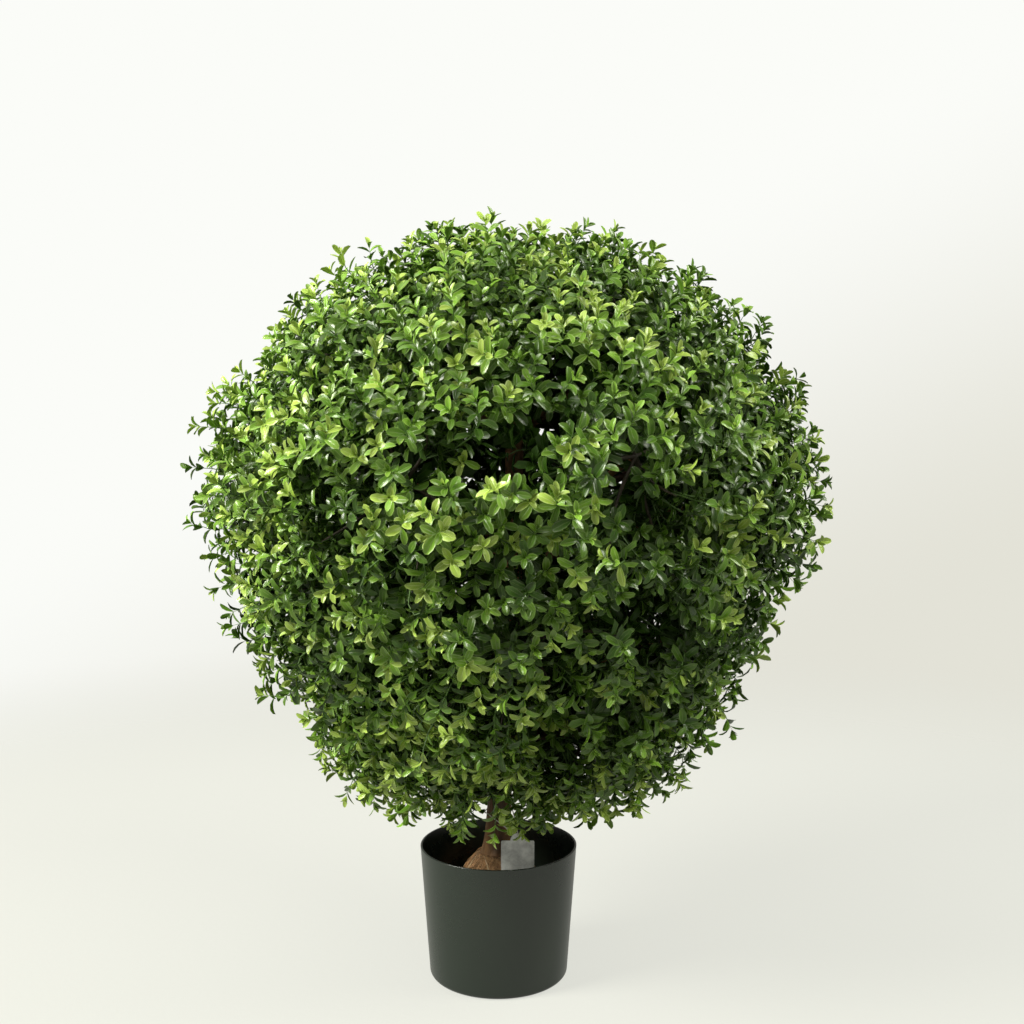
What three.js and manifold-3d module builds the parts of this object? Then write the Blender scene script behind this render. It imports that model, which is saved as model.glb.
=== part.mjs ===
// Artificial box topiary ball in a plain plastic nursery pot.
// Millimetres, +Z up. The origin is the centre of the pot's underside and -Y is the front.

import * as THREE from "three";
import { mergeVertices } from "three/addons/utils/BufferGeometryUtils.js";
import Module from "manifold-3d";

const wasm = await Module();
wasm.setup();

// Pot: a thin tapered shell with a plain rim and a small rounded foot edge
const potHeight = 165;
const potRimRadius = 98.5;
const potFootRadius = 86.5;
const potWall = 2.5;
const potFloor = 3;
const potFootRound = 6;
const potSides = 40;

// Fill: a weighted plug with a coir-covered mound that the trunk stands in
const fillTop = 154;
const fillEdge = 92;
const fillFlatRadius = 24;
const fillSides = 20;
const fillSlopeSteps = 4;

// Clearance kept between pieces that touch
const seat = 0.3;

// Trunk: one leaning, tapering stem with a root flare, cut flat at both ends
const trunkTop = 735;
const trunkFootRadius = 15.5;
const trunkTipRadius = 10.5;
const trunkFlare = 5.5;
const trunkFlareHeight = 16;
const trunkFootX = -3;
const trunkTopX = 21;
const trunkBow = 5;
const trunkSides = 12;
const trunkRings = 12;
const trunkRingCrowding = 1.6;

// Crown: an egg, blunt end up, whose outline is a power curve above and below its widest level
const crownCentre = new THREE.Vector3(15, 0, 620);
const crownRadius = 388;
const crownRise = 334;
const crownDrop = 464;
const domeSidePower = 2;
const domeHeightPower = 1.8;
const skirtSidePower = 2.2;
const skirtHeightPower = 1.35;

// Masses of foliage, in tiers from the top down, each tier turned about the crown's centre.
// rise is how far a bough climbs for each millimetre that it runs outwards.
const tiers = [
  { name: "crest", count: 1, elevation: 90, turn: 0, rise: 0 },
  { name: "upper", count: 5, elevation: 46, turn: -44, rise: 0.62 },
  { name: "middle", count: 7, elevation: 5, turn: -64, rise: 0.36 },
  { name: "lower", count: 6, elevation: -33, turn: -88, rise: 0.3 },
  { name: "foot", count: 4, elevation: -63, turn: -45, rise: 0.26 },
];
const tierScatter = 7;
const leastFullness = 0.98;
const massGap = 10;
const trunkHollow = 58;

// Dense heart of a mass, as shares of the crown's reach along its own line
const heartOuter = 0.84;
const heartEdge = 0.775;
const heartMiddle = 0.755;
const heartInner = 0.69;
const heartShoulder = 0.62;
const heartUnderside = 0.9;
const heartCorners = 9;
const heartMargin = 0.05;

// Boughs and the stems that carry on from them into the masses
const boughShare = 0.55;
const boughRootRadius = 7;
const boughTipRadius = 4.4;
const stemTipRadius = 3;
const boughStagger = 15;
const boughSag = 0.12;
const boughSides = 5;
const boughSteps = 3;
const stemSteps = 2;

// Twigs, spread evenly over the crown, and the leaves that they carry in opposite pairs
const twigCount = 146;
const twigRootRadius = 4;
const twigKneeRadius = 3.2;
const twigTipRadius = 1.8;
const twigPull = 0.1;
const twigKneePull = 0.35;
const twigScatter = 0.1;
const leafLength = 66;
const leafWidth = 30;
const leafThickness = 3.2;
const leafWidestShare = 0.56;
const leafDroop = 5;
const leafSplay = 46;
const leafSink = 1.2;
const leafPairs = 2;
const leafRootDrop = 2;
const leafPairStep = 31;
const leafTipRoom = 6;

// Swing tag on a thread tied round the trunk, its foot resting on the mound
const tagWidth = 41;
const tagBodyHeight = 47;
const tagTabRadius = 9;
const tagThickness = 0.8;
const tagHoleRadius = 1.7;
const tagX = 24;
const tagY = -42;
const tagLean = 4;
const threadRadius = 0.7;
const threadRise = 24;
const threadSides = 4;
const threadTurnSteps = 8;

const goldenAngle = Math.PI * (3 - Math.sqrt(5));
const radians = THREE.MathUtils.degToRad;
const lerp = THREE.MathUtils.lerp;

// Seeded draws between 0 and 1
function seededDraws(seed) {
  let state = seed >>> 0;
  return () => {
    state = (Math.imul(state, 1664525) + 1013904223) >>> 0;
    return state / 4294967296;
  };
}

// Solids and meshes
function solidFrom(vertices, triangles) {
  const vertProperties = new Float32Array(vertices.flatMap((v) => [v.x, v.y, v.z]));
  const triVerts = new Uint32Array(triangles.flat());
  return new wasm.Manifold(new wasm.Mesh({ numProp: 3, vertProperties, triVerts }));
}

function geometryFrom(solid) {
  const mesh = solid.getMesh();
  const geometry = new THREE.BufferGeometry();
  geometry.setAttribute("position", new THREE.BufferAttribute(mesh.vertProperties, 3));
  geometry.setIndex(new THREE.BufferAttribute(mesh.triVerts, 1));
  return geometry;
}

function closedGeometry(geometry) {
  geometry.deleteAttribute("normal");
  geometry.deleteAttribute("uv");
  return mergeVertices(geometry, 1e-3);
}

// The one body that a join leaves, without loose scraps and with sealed hollows filled
function mainBody(solid) {
  const bodies = solid.decompose();
  return bodies.reduce((best, body) => (body.volume() > best.volume() ? body : best));
}

function finish(color, roughness) {
  return new THREE.MeshStandardMaterial({ color, roughness, metalness: 0 });
}

function namedMesh(name, geometry, material) {
  const mesh = new THREE.Mesh(geometry, material);
  mesh.name = name;
  return mesh;
}

// A closed skin over rings of equal size: flat ends, or joined end to end as a loop
function skinRings(rings, isLoop) {
  const sides = rings[0].length;
  const last = rings.length - 1;
  const triangles = [];
  const bands = isLoop ? rings.length : last;
  for (let band = 0; band < bands; band++) {
    const low = band * sides;
    const high = ((band + 1) % rings.length) * sides;
    for (let side = 0; side < sides; side++) {
      const next = (side + 1) % sides;
      triangles.push([low + side, low + next, high + next]);
      triangles.push([low + side, high + next, high + side]);
    }
  }
  if (!isLoop) {
    for (let side = 1; side < sides - 1; side++) {
      triangles.push([0, side + 1, side]);
      triangles.push([last * sides, last * sides + side, last * sides + side + 1]);
    }
  }
  return solidFrom(rings.flat(), triangles);
}

// A tube along points with a radius at each, its rings square to the path
function tube(points, radii, sides, isLoop = false) {
  const count = points.length;
  const along = points.map((_, i) => {
    const next = isLoop ? points[(i + 1) % count] : points[Math.min(i + 1, count - 1)];
    const before = isLoop ? points[(i + count - 1) % count] : points[Math.max(i - 1, 0)];
    return next.clone().sub(before).normalize();
  });
  const side = new THREE.Vector3(0, 0, 1);
  if (Math.abs(along[0].z) > 0.9) side.set(1, 0, 0);
  const rings = points.map((point, i) => {
    side.addScaledVector(along[i], -side.dot(along[i])).normalize();
    const other = new THREE.Vector3().crossVectors(along[i], side);
    return Array.from({ length: sides }, (_, k) => {
      const angle = (2 * Math.PI * k) / sides;
      return point
        .clone()
        .addScaledVector(side, radii[i] * Math.cos(angle))
        .addScaledVector(other, radii[i] * Math.sin(angle));
    });
  });
  return skinRings(rings, isLoop);
}

// Pot
function potOuterRadius(height) {
  return lerp(potFootRadius, potRimRadius, height / potHeight);
}

function potInnerRadius(height) {
  const floorRadius = potOuterRadius(potFloor) - potWall - potFootRound / 2;
  return lerp(floorRadius, potRimRadius - potWall, (height - potFloor) / (potHeight - potFloor));
}

function buildPot() {
  const profile = [new THREE.Vector2(0, 0)];
  const roundSteps = 3;
  for (let step = 0; step <= roundSteps; step++) {
    const angle = (Math.PI / 2) * (step / roundSteps);
    const inset = potFootRound * (1 - Math.sin(angle));
    const height = potFootRound * (1 - Math.cos(angle));
    profile.push(new THREE.Vector2(potOuterRadius(height) - inset, height));
  }
  profile.push(new THREE.Vector2(potRimRadius, potHeight));
  profile.push(new THREE.Vector2(potInnerRadius(potHeight), potHeight));
  profile.push(new THREE.Vector2(potInnerRadius(potFloor), potFloor));
  profile.push(new THREE.Vector2(0, potFloor));
  const geometry = closedGeometry(new THREE.LatheGeometry(profile, potSides));
  geometry.rotateX(Math.PI / 2);
  return namedMesh("pot", geometry, finish(0x373c35, 0.5));
}

// Fill
function fillHeight(radius) {
  const wall = potInnerRadius(fillEdge) - seat;
  const share = THREE.MathUtils.clamp((radius - fillFlatRadius) / (wall - fillFlatRadius), 0, 1);
  return lerp(fillTop, fillEdge, Math.sin((Math.PI / 2) * share) ** 1.3);
}

function buildFill() {
  const bottom = potFloor + seat;
  const wallRadius = potInnerRadius(fillEdge) - seat;
  const profile = [new THREE.Vector2(0, bottom)];
  profile.push(new THREE.Vector2(potInnerRadius(bottom) - seat, bottom));
  profile.push(new THREE.Vector2(wallRadius, fillEdge));
  for (let step = fillSlopeSteps - 1; step >= 0; step--) {
    const radius = lerp(fillFlatRadius, wallRadius, step / fillSlopeSteps);
    profile.push(new THREE.Vector2(radius, fillHeight(radius)));
  }
  profile.push(new THREE.Vector2(0, fillTop));
  const geometry = closedGeometry(new THREE.LatheGeometry(profile, fillSides));
  geometry.rotateX(Math.PI / 2);
  return namedMesh("fill_mound", geometry, finish(0x6b3b22, 0.95));
}

// Trunk
function trunkAxis(height) {
  const share = THREE.MathUtils.clamp((height - fillTop) / (trunkTop - fillTop), 0, 1);
  const bow = trunkBow * Math.sin(Math.PI * share);
  return new THREE.Vector3(lerp(trunkFootX, trunkTopX, share) + bow, bow / 2, height);
}

function trunkRadius(height) {
  const share = (height - fillTop) / (trunkTop - fillTop);
  const flare = trunkFlare * Math.exp(-(height - fillTop) / trunkFlareHeight);
  return lerp(trunkFootRadius, trunkTipRadius, share) + flare;
}

function trunkSolid(spare) {
  const rings = [];
  for (let ring = 0; ring < trunkRings; ring++) {
    const share = (ring / (trunkRings - 1)) ** trunkRingCrowding;
    const height = lerp(fillTop + seat, trunkTop, share);
    const centre = trunkAxis(height);
    const radius = trunkRadius(height) + spare;
    rings.push(
      Array.from({ length: trunkSides }, (_, k) => {
        const angle = (2 * Math.PI * k) / trunkSides;
        return new THREE.Vector3(radius * Math.cos(angle), radius * Math.sin(angle), 0).add(centre);
      }),
    );
  }
  return skinRings(rings, false);
}

// Crown outline, for offsets and directions from the crown's centre
function outlineLevel(offset) {
  const side = Math.hypot(offset.x, offset.y) / crownRadius;
  if (offset.z >= 0) return side ** domeSidePower + (offset.z / crownRise) ** domeHeightPower;
  return side ** skirtSidePower + (-offset.z / crownDrop) ** skirtHeightPower;
}

function reachAlong(direction) {
  let inside = 0;
  let outside = 2 * crownRadius;
  for (let halving = 0; halving < 30; halving++) {
    const middle = (inside + outside) / 2;
    if (outlineLevel(direction.clone().multiplyScalar(middle)) < 1) inside = middle;
    else outside = middle;
  }
  return inside;
}

function directionOf(elevation, azimuth) {
  const level = Math.cos(elevation);
  return new THREE.Vector3(
    level * Math.cos(azimuth),
    level * Math.sin(azimuth),
    Math.sin(elevation),
  );
}

// Directions spread evenly over the crown's skin, each turned on from the last by the golden angle
function evenDirections(count, draw) {
  const slices = 240;
  const areas = [0];
  let before = new THREE.Vector2(0, crownRise);
  for (let slice = 1; slice <= slices; slice++) {
    const elevation = Math.PI / 2 - (Math.PI * slice) / slices;
    const point = directionOf(elevation, 0).multiplyScalar(reachAlong(directionOf(elevation, 0)));
    const here = new THREE.Vector2(point.x, point.z);
    areas.push(areas[slice - 1] + (here.x + before.x) * here.distanceTo(before));
    before = here;
  }
  const directions = [];
  let slice = 1;
  for (let index = 0; index < count; index++) {
    const target = ((index + 0.5) / count) * areas[slices];
    while (areas[slice] < target) slice += 1;
    const part = (target - areas[slice - 1]) / (areas[slice] - areas[slice - 1]);
    const elevation = Math.PI / 2 - (Math.PI * (slice - 1 + part)) / slices;
    const nudge = twigScatter * (draw() - 0.5);
    const turn = twigScatter * (draw() - 0.5);
    directions.push(directionOf(elevation + nudge, index * goldenAngle + turn));
  }
  return directions;
}

// Masses: each has its own line from the crown's centre and the space nearest to that line
function planMasses() {
  const draw = seededDraws(20117);
  const plans = [];
  for (const tier of tiers) {
    for (let index = 0; index < tier.count; index++) {
      const isCrest = tier.count === 1;
      const lift = isCrest ? 0 : tierScatter * (draw() - 0.5);
      const swing = isCrest ? 0 : tierScatter * (draw() - 0.5);
      const azimuth = radians(tier.turn + (360 * index) / tier.count + swing);
      const direction = directionOf(radians(tier.elevation + lift), azimuth);
      const fullness = isCrest ? 1 : lerp(leastFullness, 1, draw());
      const heart = direction.clone().multiplyScalar(heartMiddle * reachAlong(direction) * fullness);
      const name = isCrest ? tier.name : `${tier.name}_${index + 1}`;
      plans.push({ name, tier, index, direction, fullness, heart, isCrest });
    }
  }
  return plans;
}

function isInSpace(offset, mass, masses, gap) {
  for (const other of masses) {
    if (other === mass) continue;
    const across = mass.direction.clone().sub(other.direction).normalize();
    if (offset.dot(across) < gap / 2) return false;
  }
  return isClearOfTrunk(offset, trunkHollow);
}

function isClearOfTrunk(offset, distance) {
  const point = offset.clone().add(crownCentre);
  if (point.z > trunkTop + distance) return true;
  const axis = trunkAxis(point.z);
  return Math.hypot(point.x - axis.x, point.y - axis.y) > distance;
}

// Limb of a mass: a curve from the trunk's axis to the mass's heart
function limbCurve(mass) {
  const end = mass.heart.clone().add(crownCentre);
  if (mass.isCrest) {
    const start = trunkAxis(trunkTop);
    return new THREE.QuadraticBezierCurve3(start, start.clone().lerp(end, 0.5), end);
  }
  const run = Math.hypot(mass.heart.x, mass.heart.y);
  const stagger = boughStagger * ((mass.index % 2) - 0.5);
  const height = Math.min(end.z - mass.tier.rise * run, trunkTop - 2 * boughRootRadius) - stagger;
  const start = trunkAxis(height);
  const middle = start.clone().lerp(end, 0.5);
  middle.z -= boughSag * mass.tier.rise * run;
  return new THREE.QuadraticBezierCurve3(start, middle, end);
}

function limbTube(curve, from, to, fromRadius, toRadius, steps) {
  const points = [];
  const radii = [];
  for (let step = 0; step <= steps; step++) {
    points.push(curve.getPoint(lerp(from, to, step / steps)));
    radii.push(lerp(fromRadius, toRadius, step / steps));
  }
  return tube(points, radii, boughSides);
}

// A bough ends part of the way to the heart, or sooner where it would enter the mass's dense part
function boughEnd(mass, curve) {
  if (mass.isCrest) return 0;
  const step = 0.02;
  let end = step;
  const isFree = (share) => {
    const offset = curve.getPoint(share).sub(crownCentre);
    const depth = offset.length() / reachAlong(offset.clone().normalize());
    return depth < heartInner - heartMargin || !isClearOfTrunk(offset, trunkHollow - boughRootRadius);
  };
  while (end + step < boughShare && isFree(end + step)) end += step;
  return end;
}

function boughSolid(mass, trunkRoom) {
  const curve = limbCurve(mass);
  const end = boughEnd(mass, curve);
  const whole = limbTube(curve, 0, end, boughRootRadius, boughTipRadius, boughSteps);
  return mainBody(whole.subtract(trunkRoom));
}

function stemSolid(mass) {
  const curve = limbCurve(mass);
  const start = boughEnd(mass, curve) + seat / curve.getLength();
  return limbTube(curve, start, 1, boughTipRadius, stemTipRadius, stemSteps);
}

// Dense heart of a mass: a domed cushion that ends short of its neighbours and of the trunk
function heartSolid(mass, masses) {
  const axis = mass.direction;
  const sideways = new THREE.Vector3().crossVectors(axis, new THREE.Vector3(0, 1, 0)).normalize();
  const upwards = new THREE.Vector3().crossVectors(axis, sideways);
  const place = (corner, spread, share) => {
    const angle = (2 * Math.PI * corner) / heartCorners;
    const out = sideways.clone().multiplyScalar(Math.cos(angle));
    out.addScaledVector(upwards, Math.sin(angle));
    const direction = axis.clone().multiplyScalar(Math.cos(spread));
    direction.addScaledVector(out, Math.sin(spread));
    return direction.multiplyScalar(reachAlong(direction) * share * mass.fullness);
  };
  const widestSpread = 0.7;
  const spreadStep = 0.01;
  const vertices = [place(0, 0, heartOuter)];
  const spreads = [];
  for (let corner = 0; corner < heartCorners; corner++) {
    let spread = spreadStep;
    while (
      spread < widestSpread &&
      isInSpace(place(corner, spread, heartEdge), mass, masses, massGap) &&
      isInSpace(place(corner, spread, heartInner), mass, masses, massGap)
    ) {
      spread += spreadStep;
    }
    spreads.push(spread - spreadStep);
  }
  spreads.forEach((spread, corner) => vertices.push(place(corner, heartShoulder * spread, heartOuter)));
  spreads.forEach((spread, corner) => vertices.push(place(corner, spread, heartEdge)));
  spreads.forEach((spread, corner) => vertices.push(place(corner, heartUnderside * spread, heartInner)));
  vertices.push(place(0, 0, heartInner));
  const foot = vertices.length - 1;
  const triangles = [];
  for (let corner = 0; corner < heartCorners; corner++) {
    const a = 1 + corner;
    const b = 1 + ((corner + 1) % heartCorners);
    const rings = [0, heartCorners, 2 * heartCorners];
    triangles.push([0, a, b]);
    for (let band = 0; band < 2; band++) {
      triangles.push([a + rings[band], a + rings[band + 1], b + rings[band + 1]]);
      triangles.push([a + rings[band], b + rings[band + 1], b + rings[band]]);
    }
    triangles.push([foot, b + rings[2], a + rings[2]]);
  }
  return solidFrom(vertices.map((v) => v.add(crownCentre)), triangles);
}

// Leaf: a thin blade of six faces, widest past its middle, ridged along its midrib
function leafCorners(root, along, face) {
  const across = new THREE.Vector3().crossVectors(face, along);
  const corner = (length, side, lift) =>
    root
      .clone()
      .addScaledVector(along, length)
      .addScaledVector(across, side)
      .addScaledVector(face, lift);
  const widest = leafWidestShare * leafLength;
  return [
    corner(-leafSink, 0, 0),
    corner(leafLength, 0, -leafDroop),
    corner(widest, leafWidth / 2, 0),
    corner(widest, 0, leafThickness),
    corner(widest, -leafWidth / 2, 0),
  ];
}

const leafFaces = [
  [0, 3, 2],
  [0, 4, 3],
  [0, 2, 4],
  [1, 2, 3],
  [1, 3, 4],
  [1, 4, 2],
];

// Twigs of a mass with their leaves, as offsets from the crown's centre
function twigPath(mass, aim) {
  const reach = reachAlong(aim) * mass.fullness;
  const leafRise = leafLength * Math.cos(radians(leafSplay)) - leafDroop;
  const tip = aim.clone().multiplyScalar(reach - leafRise - leafTipRoom);
  const kneeAim = aim.clone().addScaledVector(mass.direction, twigKneePull).normalize();
  const knee = kneeAim.multiplyScalar(reachAlong(kneeAim) * heartMiddle * mass.fullness);
  return [mass.heart.clone(), knee, tip];
}

function bladeCorners(root, along, turn) {
  const side = new THREE.Vector3(0, 0, 1).cross(along).normalize();
  const out = side.applyAxisAngle(along, turn);
  const rise = Math.cos(radians(leafSplay));
  const spread = Math.sin(radians(leafSplay));
  const blade = along.clone().multiplyScalar(rise).addScaledVector(out, spread);
  const face = along.clone().multiplyScalar(spread).addScaledVector(out, -rise);
  return leafCorners(root, blade, face);
}

// A pair of opposite leaves, turned a little further round the twig where they would not fit
function growPair(root, along, firstTurn, fits) {
  const turns = 4;
  let best = [];
  for (let turn = 0; turn < turns && best.length < 2; turn++) {
    const angle = firstTurn + (turn * Math.PI) / turns;
    const blades = [angle, angle + Math.PI].map((a) => bladeCorners(root, along, a)).filter(fits);
    if (blades.length > best.length) best = blades;
  }
  return best;
}

function growTwig(mass, masses, spot, draw) {
  const aim = spot.clone().addScaledVector(mass.direction, twigPull).normalize();
  const path = twigPath(mass, aim);
  const firstTurn = draw() * Math.PI;
  const keepsToSpace = path.slice(1).every((point) => isInSpace(point, mass, masses, massGap));
  if (!keepsToSpace) return [];
  const tip = path[path.length - 1];
  const along = tip.clone().sub(path[path.length - 2]).normalize();
  const fits = (corners) =>
    corners.every((c) => outlineLevel(c) <= 1 && isInSpace(c, mass, masses, massGap / 2));
  const toCrown = (point) => point.clone().add(crownCentre);
  const radii = [twigRootRadius, twigKneeRadius, twigTipRadius];
  const pieces = [tube(path.map(toCrown), radii, 3)];
  for (let pair = 0; pair < leafPairs; pair++) {
    const root = tip.clone().addScaledVector(along, -leafRootDrop - leafPairStep * pair);
    for (const corners of growPair(root, along, firstTurn + (pair * Math.PI) / 2, fits)) {
      pieces.push(solidFrom(corners.map(toCrown), leafFaces));
    }
  }
  return pieces;
}

function nearestMass(direction, masses) {
  return masses.reduce((best, mass) =>
    mass.direction.dot(direction) > best.direction.dot(direction) ? mass : best,
  );
}

function massSolid(mass, masses, spots) {
  const draw = seededDraws(7000 + 31 * masses.indexOf(mass));
  let solid = heartSolid(mass, masses).add(stemSolid(mass));
  for (const spot of spots) {
    if (nearestMass(spot, masses) !== mass) continue;
    for (const piece of growTwig(mass, masses, spot, draw)) solid = solid.add(piece);
  }
  return mainBody(solid);
}

// Swing tag: a card with a round tab and a punched hole
function tagPlace() {
  const foot = fillHeight(Math.hypot(tagX - tagWidth / 2, tagY)) + 2 * seat;
  return new THREE.Vector3(tagX, tagY, foot);
}

function buildTag() {
  const half = tagWidth / 2;
  const card = new THREE.Shape();
  card.moveTo(-half, 0);
  card.lineTo(half, 0);
  card.lineTo(half, tagBodyHeight);
  card.lineTo(tagTabRadius, tagBodyHeight);
  card.absarc(0, tagBodyHeight, tagTabRadius, 0, Math.PI, false);
  card.lineTo(-half, tagBodyHeight);
  const hole = new THREE.Path();
  hole.absarc(0, tagBodyHeight + tagTabRadius / 3, tagHoleRadius, 0, 2 * Math.PI, true);
  card.holes.push(hole);
  const settings = { depth: tagThickness, bevelEnabled: false, curveSegments: 6 };
  const geometry = closedGeometry(new THREE.ExtrudeGeometry(card, settings));
  const mesh = namedMesh("tag", geometry, finish(0xb4b6b4, 0.6));
  mesh.position.copy(tagPlace());
  mesh.rotation.x = Math.PI / 2 - radians(tagLean);
  return mesh;
}

// Thread: through the tag's hole, over its top and round the back of the trunk
function buildThread(tag) {
  tag.updateMatrixWorld(true);
  const holeHeight = tagBodyHeight + tagTabRadius / 3 + tagHoleRadius - threadRadius - seat;
  const onTag = (height, depth) => tag.localToWorld(new THREE.Vector3(0, height, depth));
  const spare = threadRadius + 2 * seat;
  const crossing = tagBodyHeight + tagTabRadius + spare;
  const loopHeight = tag.position.z + tagBodyHeight + threadRise;
  const centre = trunkAxis(loopHeight);
  const radius = trunkRadius(loopHeight) + spare + 0.4;
  const toTag = Math.atan2(tag.position.y - centre.y, tag.position.x - centre.x);
  const points = [
    onTag(holeHeight, -2 * spare),
    onTag(holeHeight, tagThickness + spare),
    onTag(crossing, tagThickness + spare),
  ];
  const firstTurn = radians(75);
  for (let step = 0; step <= threadTurnSteps; step++) {
    const turn = toTag + lerp(firstTurn, 2 * Math.PI - firstTurn, step / threadTurnSteps);
    const point = new THREE.Vector3(Math.cos(turn), Math.sin(turn), 0).multiplyScalar(radius);
    points.push(point.add(centre));
  }
  const solid = tube(points, points.map(() => threadRadius), threadSides, true);
  return namedMesh("tag_thread", geometryFrom(solid), finish(0xe6e4da, 0.8));
}

// The whole plant
function buildTopiary() {
  const topiary = new THREE.Group();
  topiary.add(buildPot(), buildFill());
  topiary.add(namedMesh("trunk", geometryFrom(trunkSolid(0)), finish(0x4a2a1c, 0.85)));
  const masses = planMasses();
  const trunkRoom = trunkSolid(seat + 0.1);
  const spots = evenDirections(twigCount, seededDraws(4211));
  for (const mass of masses) {
    if (!mass.isCrest) {
      const bough = geometryFrom(boughSolid(mass, trunkRoom));
      topiary.add(namedMesh(`bough_${mass.name}`, bough, finish(0x3d2a1d, 0.85)));
    }
    const foliage = geometryFrom(massSolid(mass, masses, spots));
    topiary.add(namedMesh(`foliage_${mass.name}`, foliage, finish(0x4c7a2b, 0.5)));
  }
  const tag = buildTag();
  topiary.add(tag, buildThread(tag));
  return topiary;
}

const group = buildTopiary();

export default group;
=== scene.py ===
import math
from collections import namedtuple

import bpy
import numpy as np
from mathutils import Matrix, Vector, noise


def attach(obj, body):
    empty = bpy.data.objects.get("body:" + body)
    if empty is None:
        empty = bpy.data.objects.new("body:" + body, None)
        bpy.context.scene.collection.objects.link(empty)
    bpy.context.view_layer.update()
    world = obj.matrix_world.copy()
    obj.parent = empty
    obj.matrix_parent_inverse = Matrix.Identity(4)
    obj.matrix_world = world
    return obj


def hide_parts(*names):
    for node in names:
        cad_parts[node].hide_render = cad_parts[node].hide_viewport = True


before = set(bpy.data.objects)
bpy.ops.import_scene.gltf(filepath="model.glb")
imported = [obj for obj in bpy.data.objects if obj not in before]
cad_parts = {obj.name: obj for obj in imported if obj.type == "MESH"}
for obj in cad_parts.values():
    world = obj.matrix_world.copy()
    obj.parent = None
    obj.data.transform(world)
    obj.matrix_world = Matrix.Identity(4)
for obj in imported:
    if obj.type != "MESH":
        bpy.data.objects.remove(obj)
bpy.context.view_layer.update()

bl_info = {
    "name": "Artificial Box Topiary Ball",
    "version": (1, 0, 0),
    "blender": (4, 5, 0),
    "location": "3D View > Sidebar > Topiary",
    "description": "Builds a clipped ball of moulded box leaves on a trunk in a plastic pot",
    "category": "Add Mesh",
}

GOLDEN_ANGLE = math.pi * (3 - math.sqrt(5))
SEAT = 0.0003


def tint(red, green, blue):
    """A linear colour from the 0 to 255 values that a screen shows."""
    def linear(value):
        share = value / 255
        return share / 12.92 if share <= 0.04045 else ((share + 0.055) / 1.055) ** 2.4
    return (linear(red), linear(green), linear(blue), 1.0)


# Kinds of setting
def number_property(name, description, default, **limits):
    return bpy.props.FloatProperty(name=name, description=description, default=default, **limits)


def length_property(name, description, default):
    return number_property(name, description, default, min=0.0, unit="LENGTH", precision=4)


def offset_property(name, description, default):
    """A length that may lie on either side of the pot's axis."""
    return number_property(name, description, default, unit="LENGTH", precision=4)


def share_property(name, description, default):
    return number_property(name, description, default, min=0.0, max=2.0, subtype="FACTOR")


def angle_property(name, description, degrees):
    return number_property(name, description, math.radians(degrees), unit="ROTATION")


def power_property(name, description, default):
    return number_property(name, description, default, min=0.0, unit="POWER")


def count_property(name, description, default):
    return bpy.props.IntProperty(name=name, description=description, default=default, min=0)


def place_property(name, description, default):
    return bpy.props.FloatVectorProperty(name=name, description=description, default=default, unit="LENGTH")


def colour_property(name, description, red, green, blue):
    default = tint(red, green, blue)
    return bpy.props.FloatVectorProperty(
        name=name, description=description, default=default, size=4, min=0.0, max=1.0, subtype="COLOR"
    )


class TOPIARY_PG_pot(bpy.types.PropertyGroup):
    """Sizes and finish of the pot and of the fill that weights it."""

    height: length_property("Height", "Height of the pot", 0.165)
    rim_radius: length_property("Rim radius", "Outer radius at the rim", 0.0985)
    foot_radius: length_property("Foot radius", "Outer radius at the foot", 0.0865)
    wall: length_property("Wall", "Thickness of the wall at the rim", 0.0025)
    floor: length_property("Floor", "Thickness of the floor", 0.003)
    foot_round: length_property("Foot rounding", "Radius of the edge at the foot", 0.006)
    plastic: colour_property("Plastic", "Colour of the moulded plastic", 25, 35, 26)
    fill_top: length_property("Fill top", "Height of the mound at the trunk", 0.154)
    fill_edge: length_property("Fill edge", "Height of the mound at the wall", 0.092)
    fill_flat: length_property("Fill flat", "Radius of the mound's flat top", 0.024)
    coir: colour_property("Coir", "Colour of the fibre on the mound", 158, 122, 84)
    strand: colour_property("Strands", "Colour of the loose pale strands", 196, 170, 132)
    fibres: count_property("Fibres", "How many fibres lie on the mound", 900)


class TOPIARY_PG_trunk(bpy.types.PropertyGroup):
    """Sizes and finish of the trunk and boughs."""

    top: length_property("Top", "Height at which the trunk is cut", 0.735)
    foot_radius: length_property("Foot radius", "Radius above the flare", 0.0155)
    tip_radius: length_property("Tip radius", "Radius at the top", 0.0105)
    flare: length_property("Flare", "Added radius at the foot", 0.0055)
    flare_height: length_property("Flare height", "Height in which the flare fades", 0.016)
    foot_x: offset_property("Foot place", "Place of the foot from left to right", -0.003)
    top_x: offset_property("Top place", "Place of the top from left to right", 0.021)
    bow: length_property("Bow", "How far the trunk bends sideways on its way up", 0.005)
    relief: length_property("Relief", "Depth of the furrows in the bark", 0.0011)
    bark: colour_property("Bark", "Colour of the raised bark", 166, 124, 80)
    furrow: colour_property("Furrow", "Colour in the furrows", 68, 47, 28)
    bough_radius: length_property("Bough radius", "Radius of a bough at the trunk", 0.007)
    stem_radius: length_property("Stem radius", "Radius of a bough at its end", 0.003)


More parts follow.
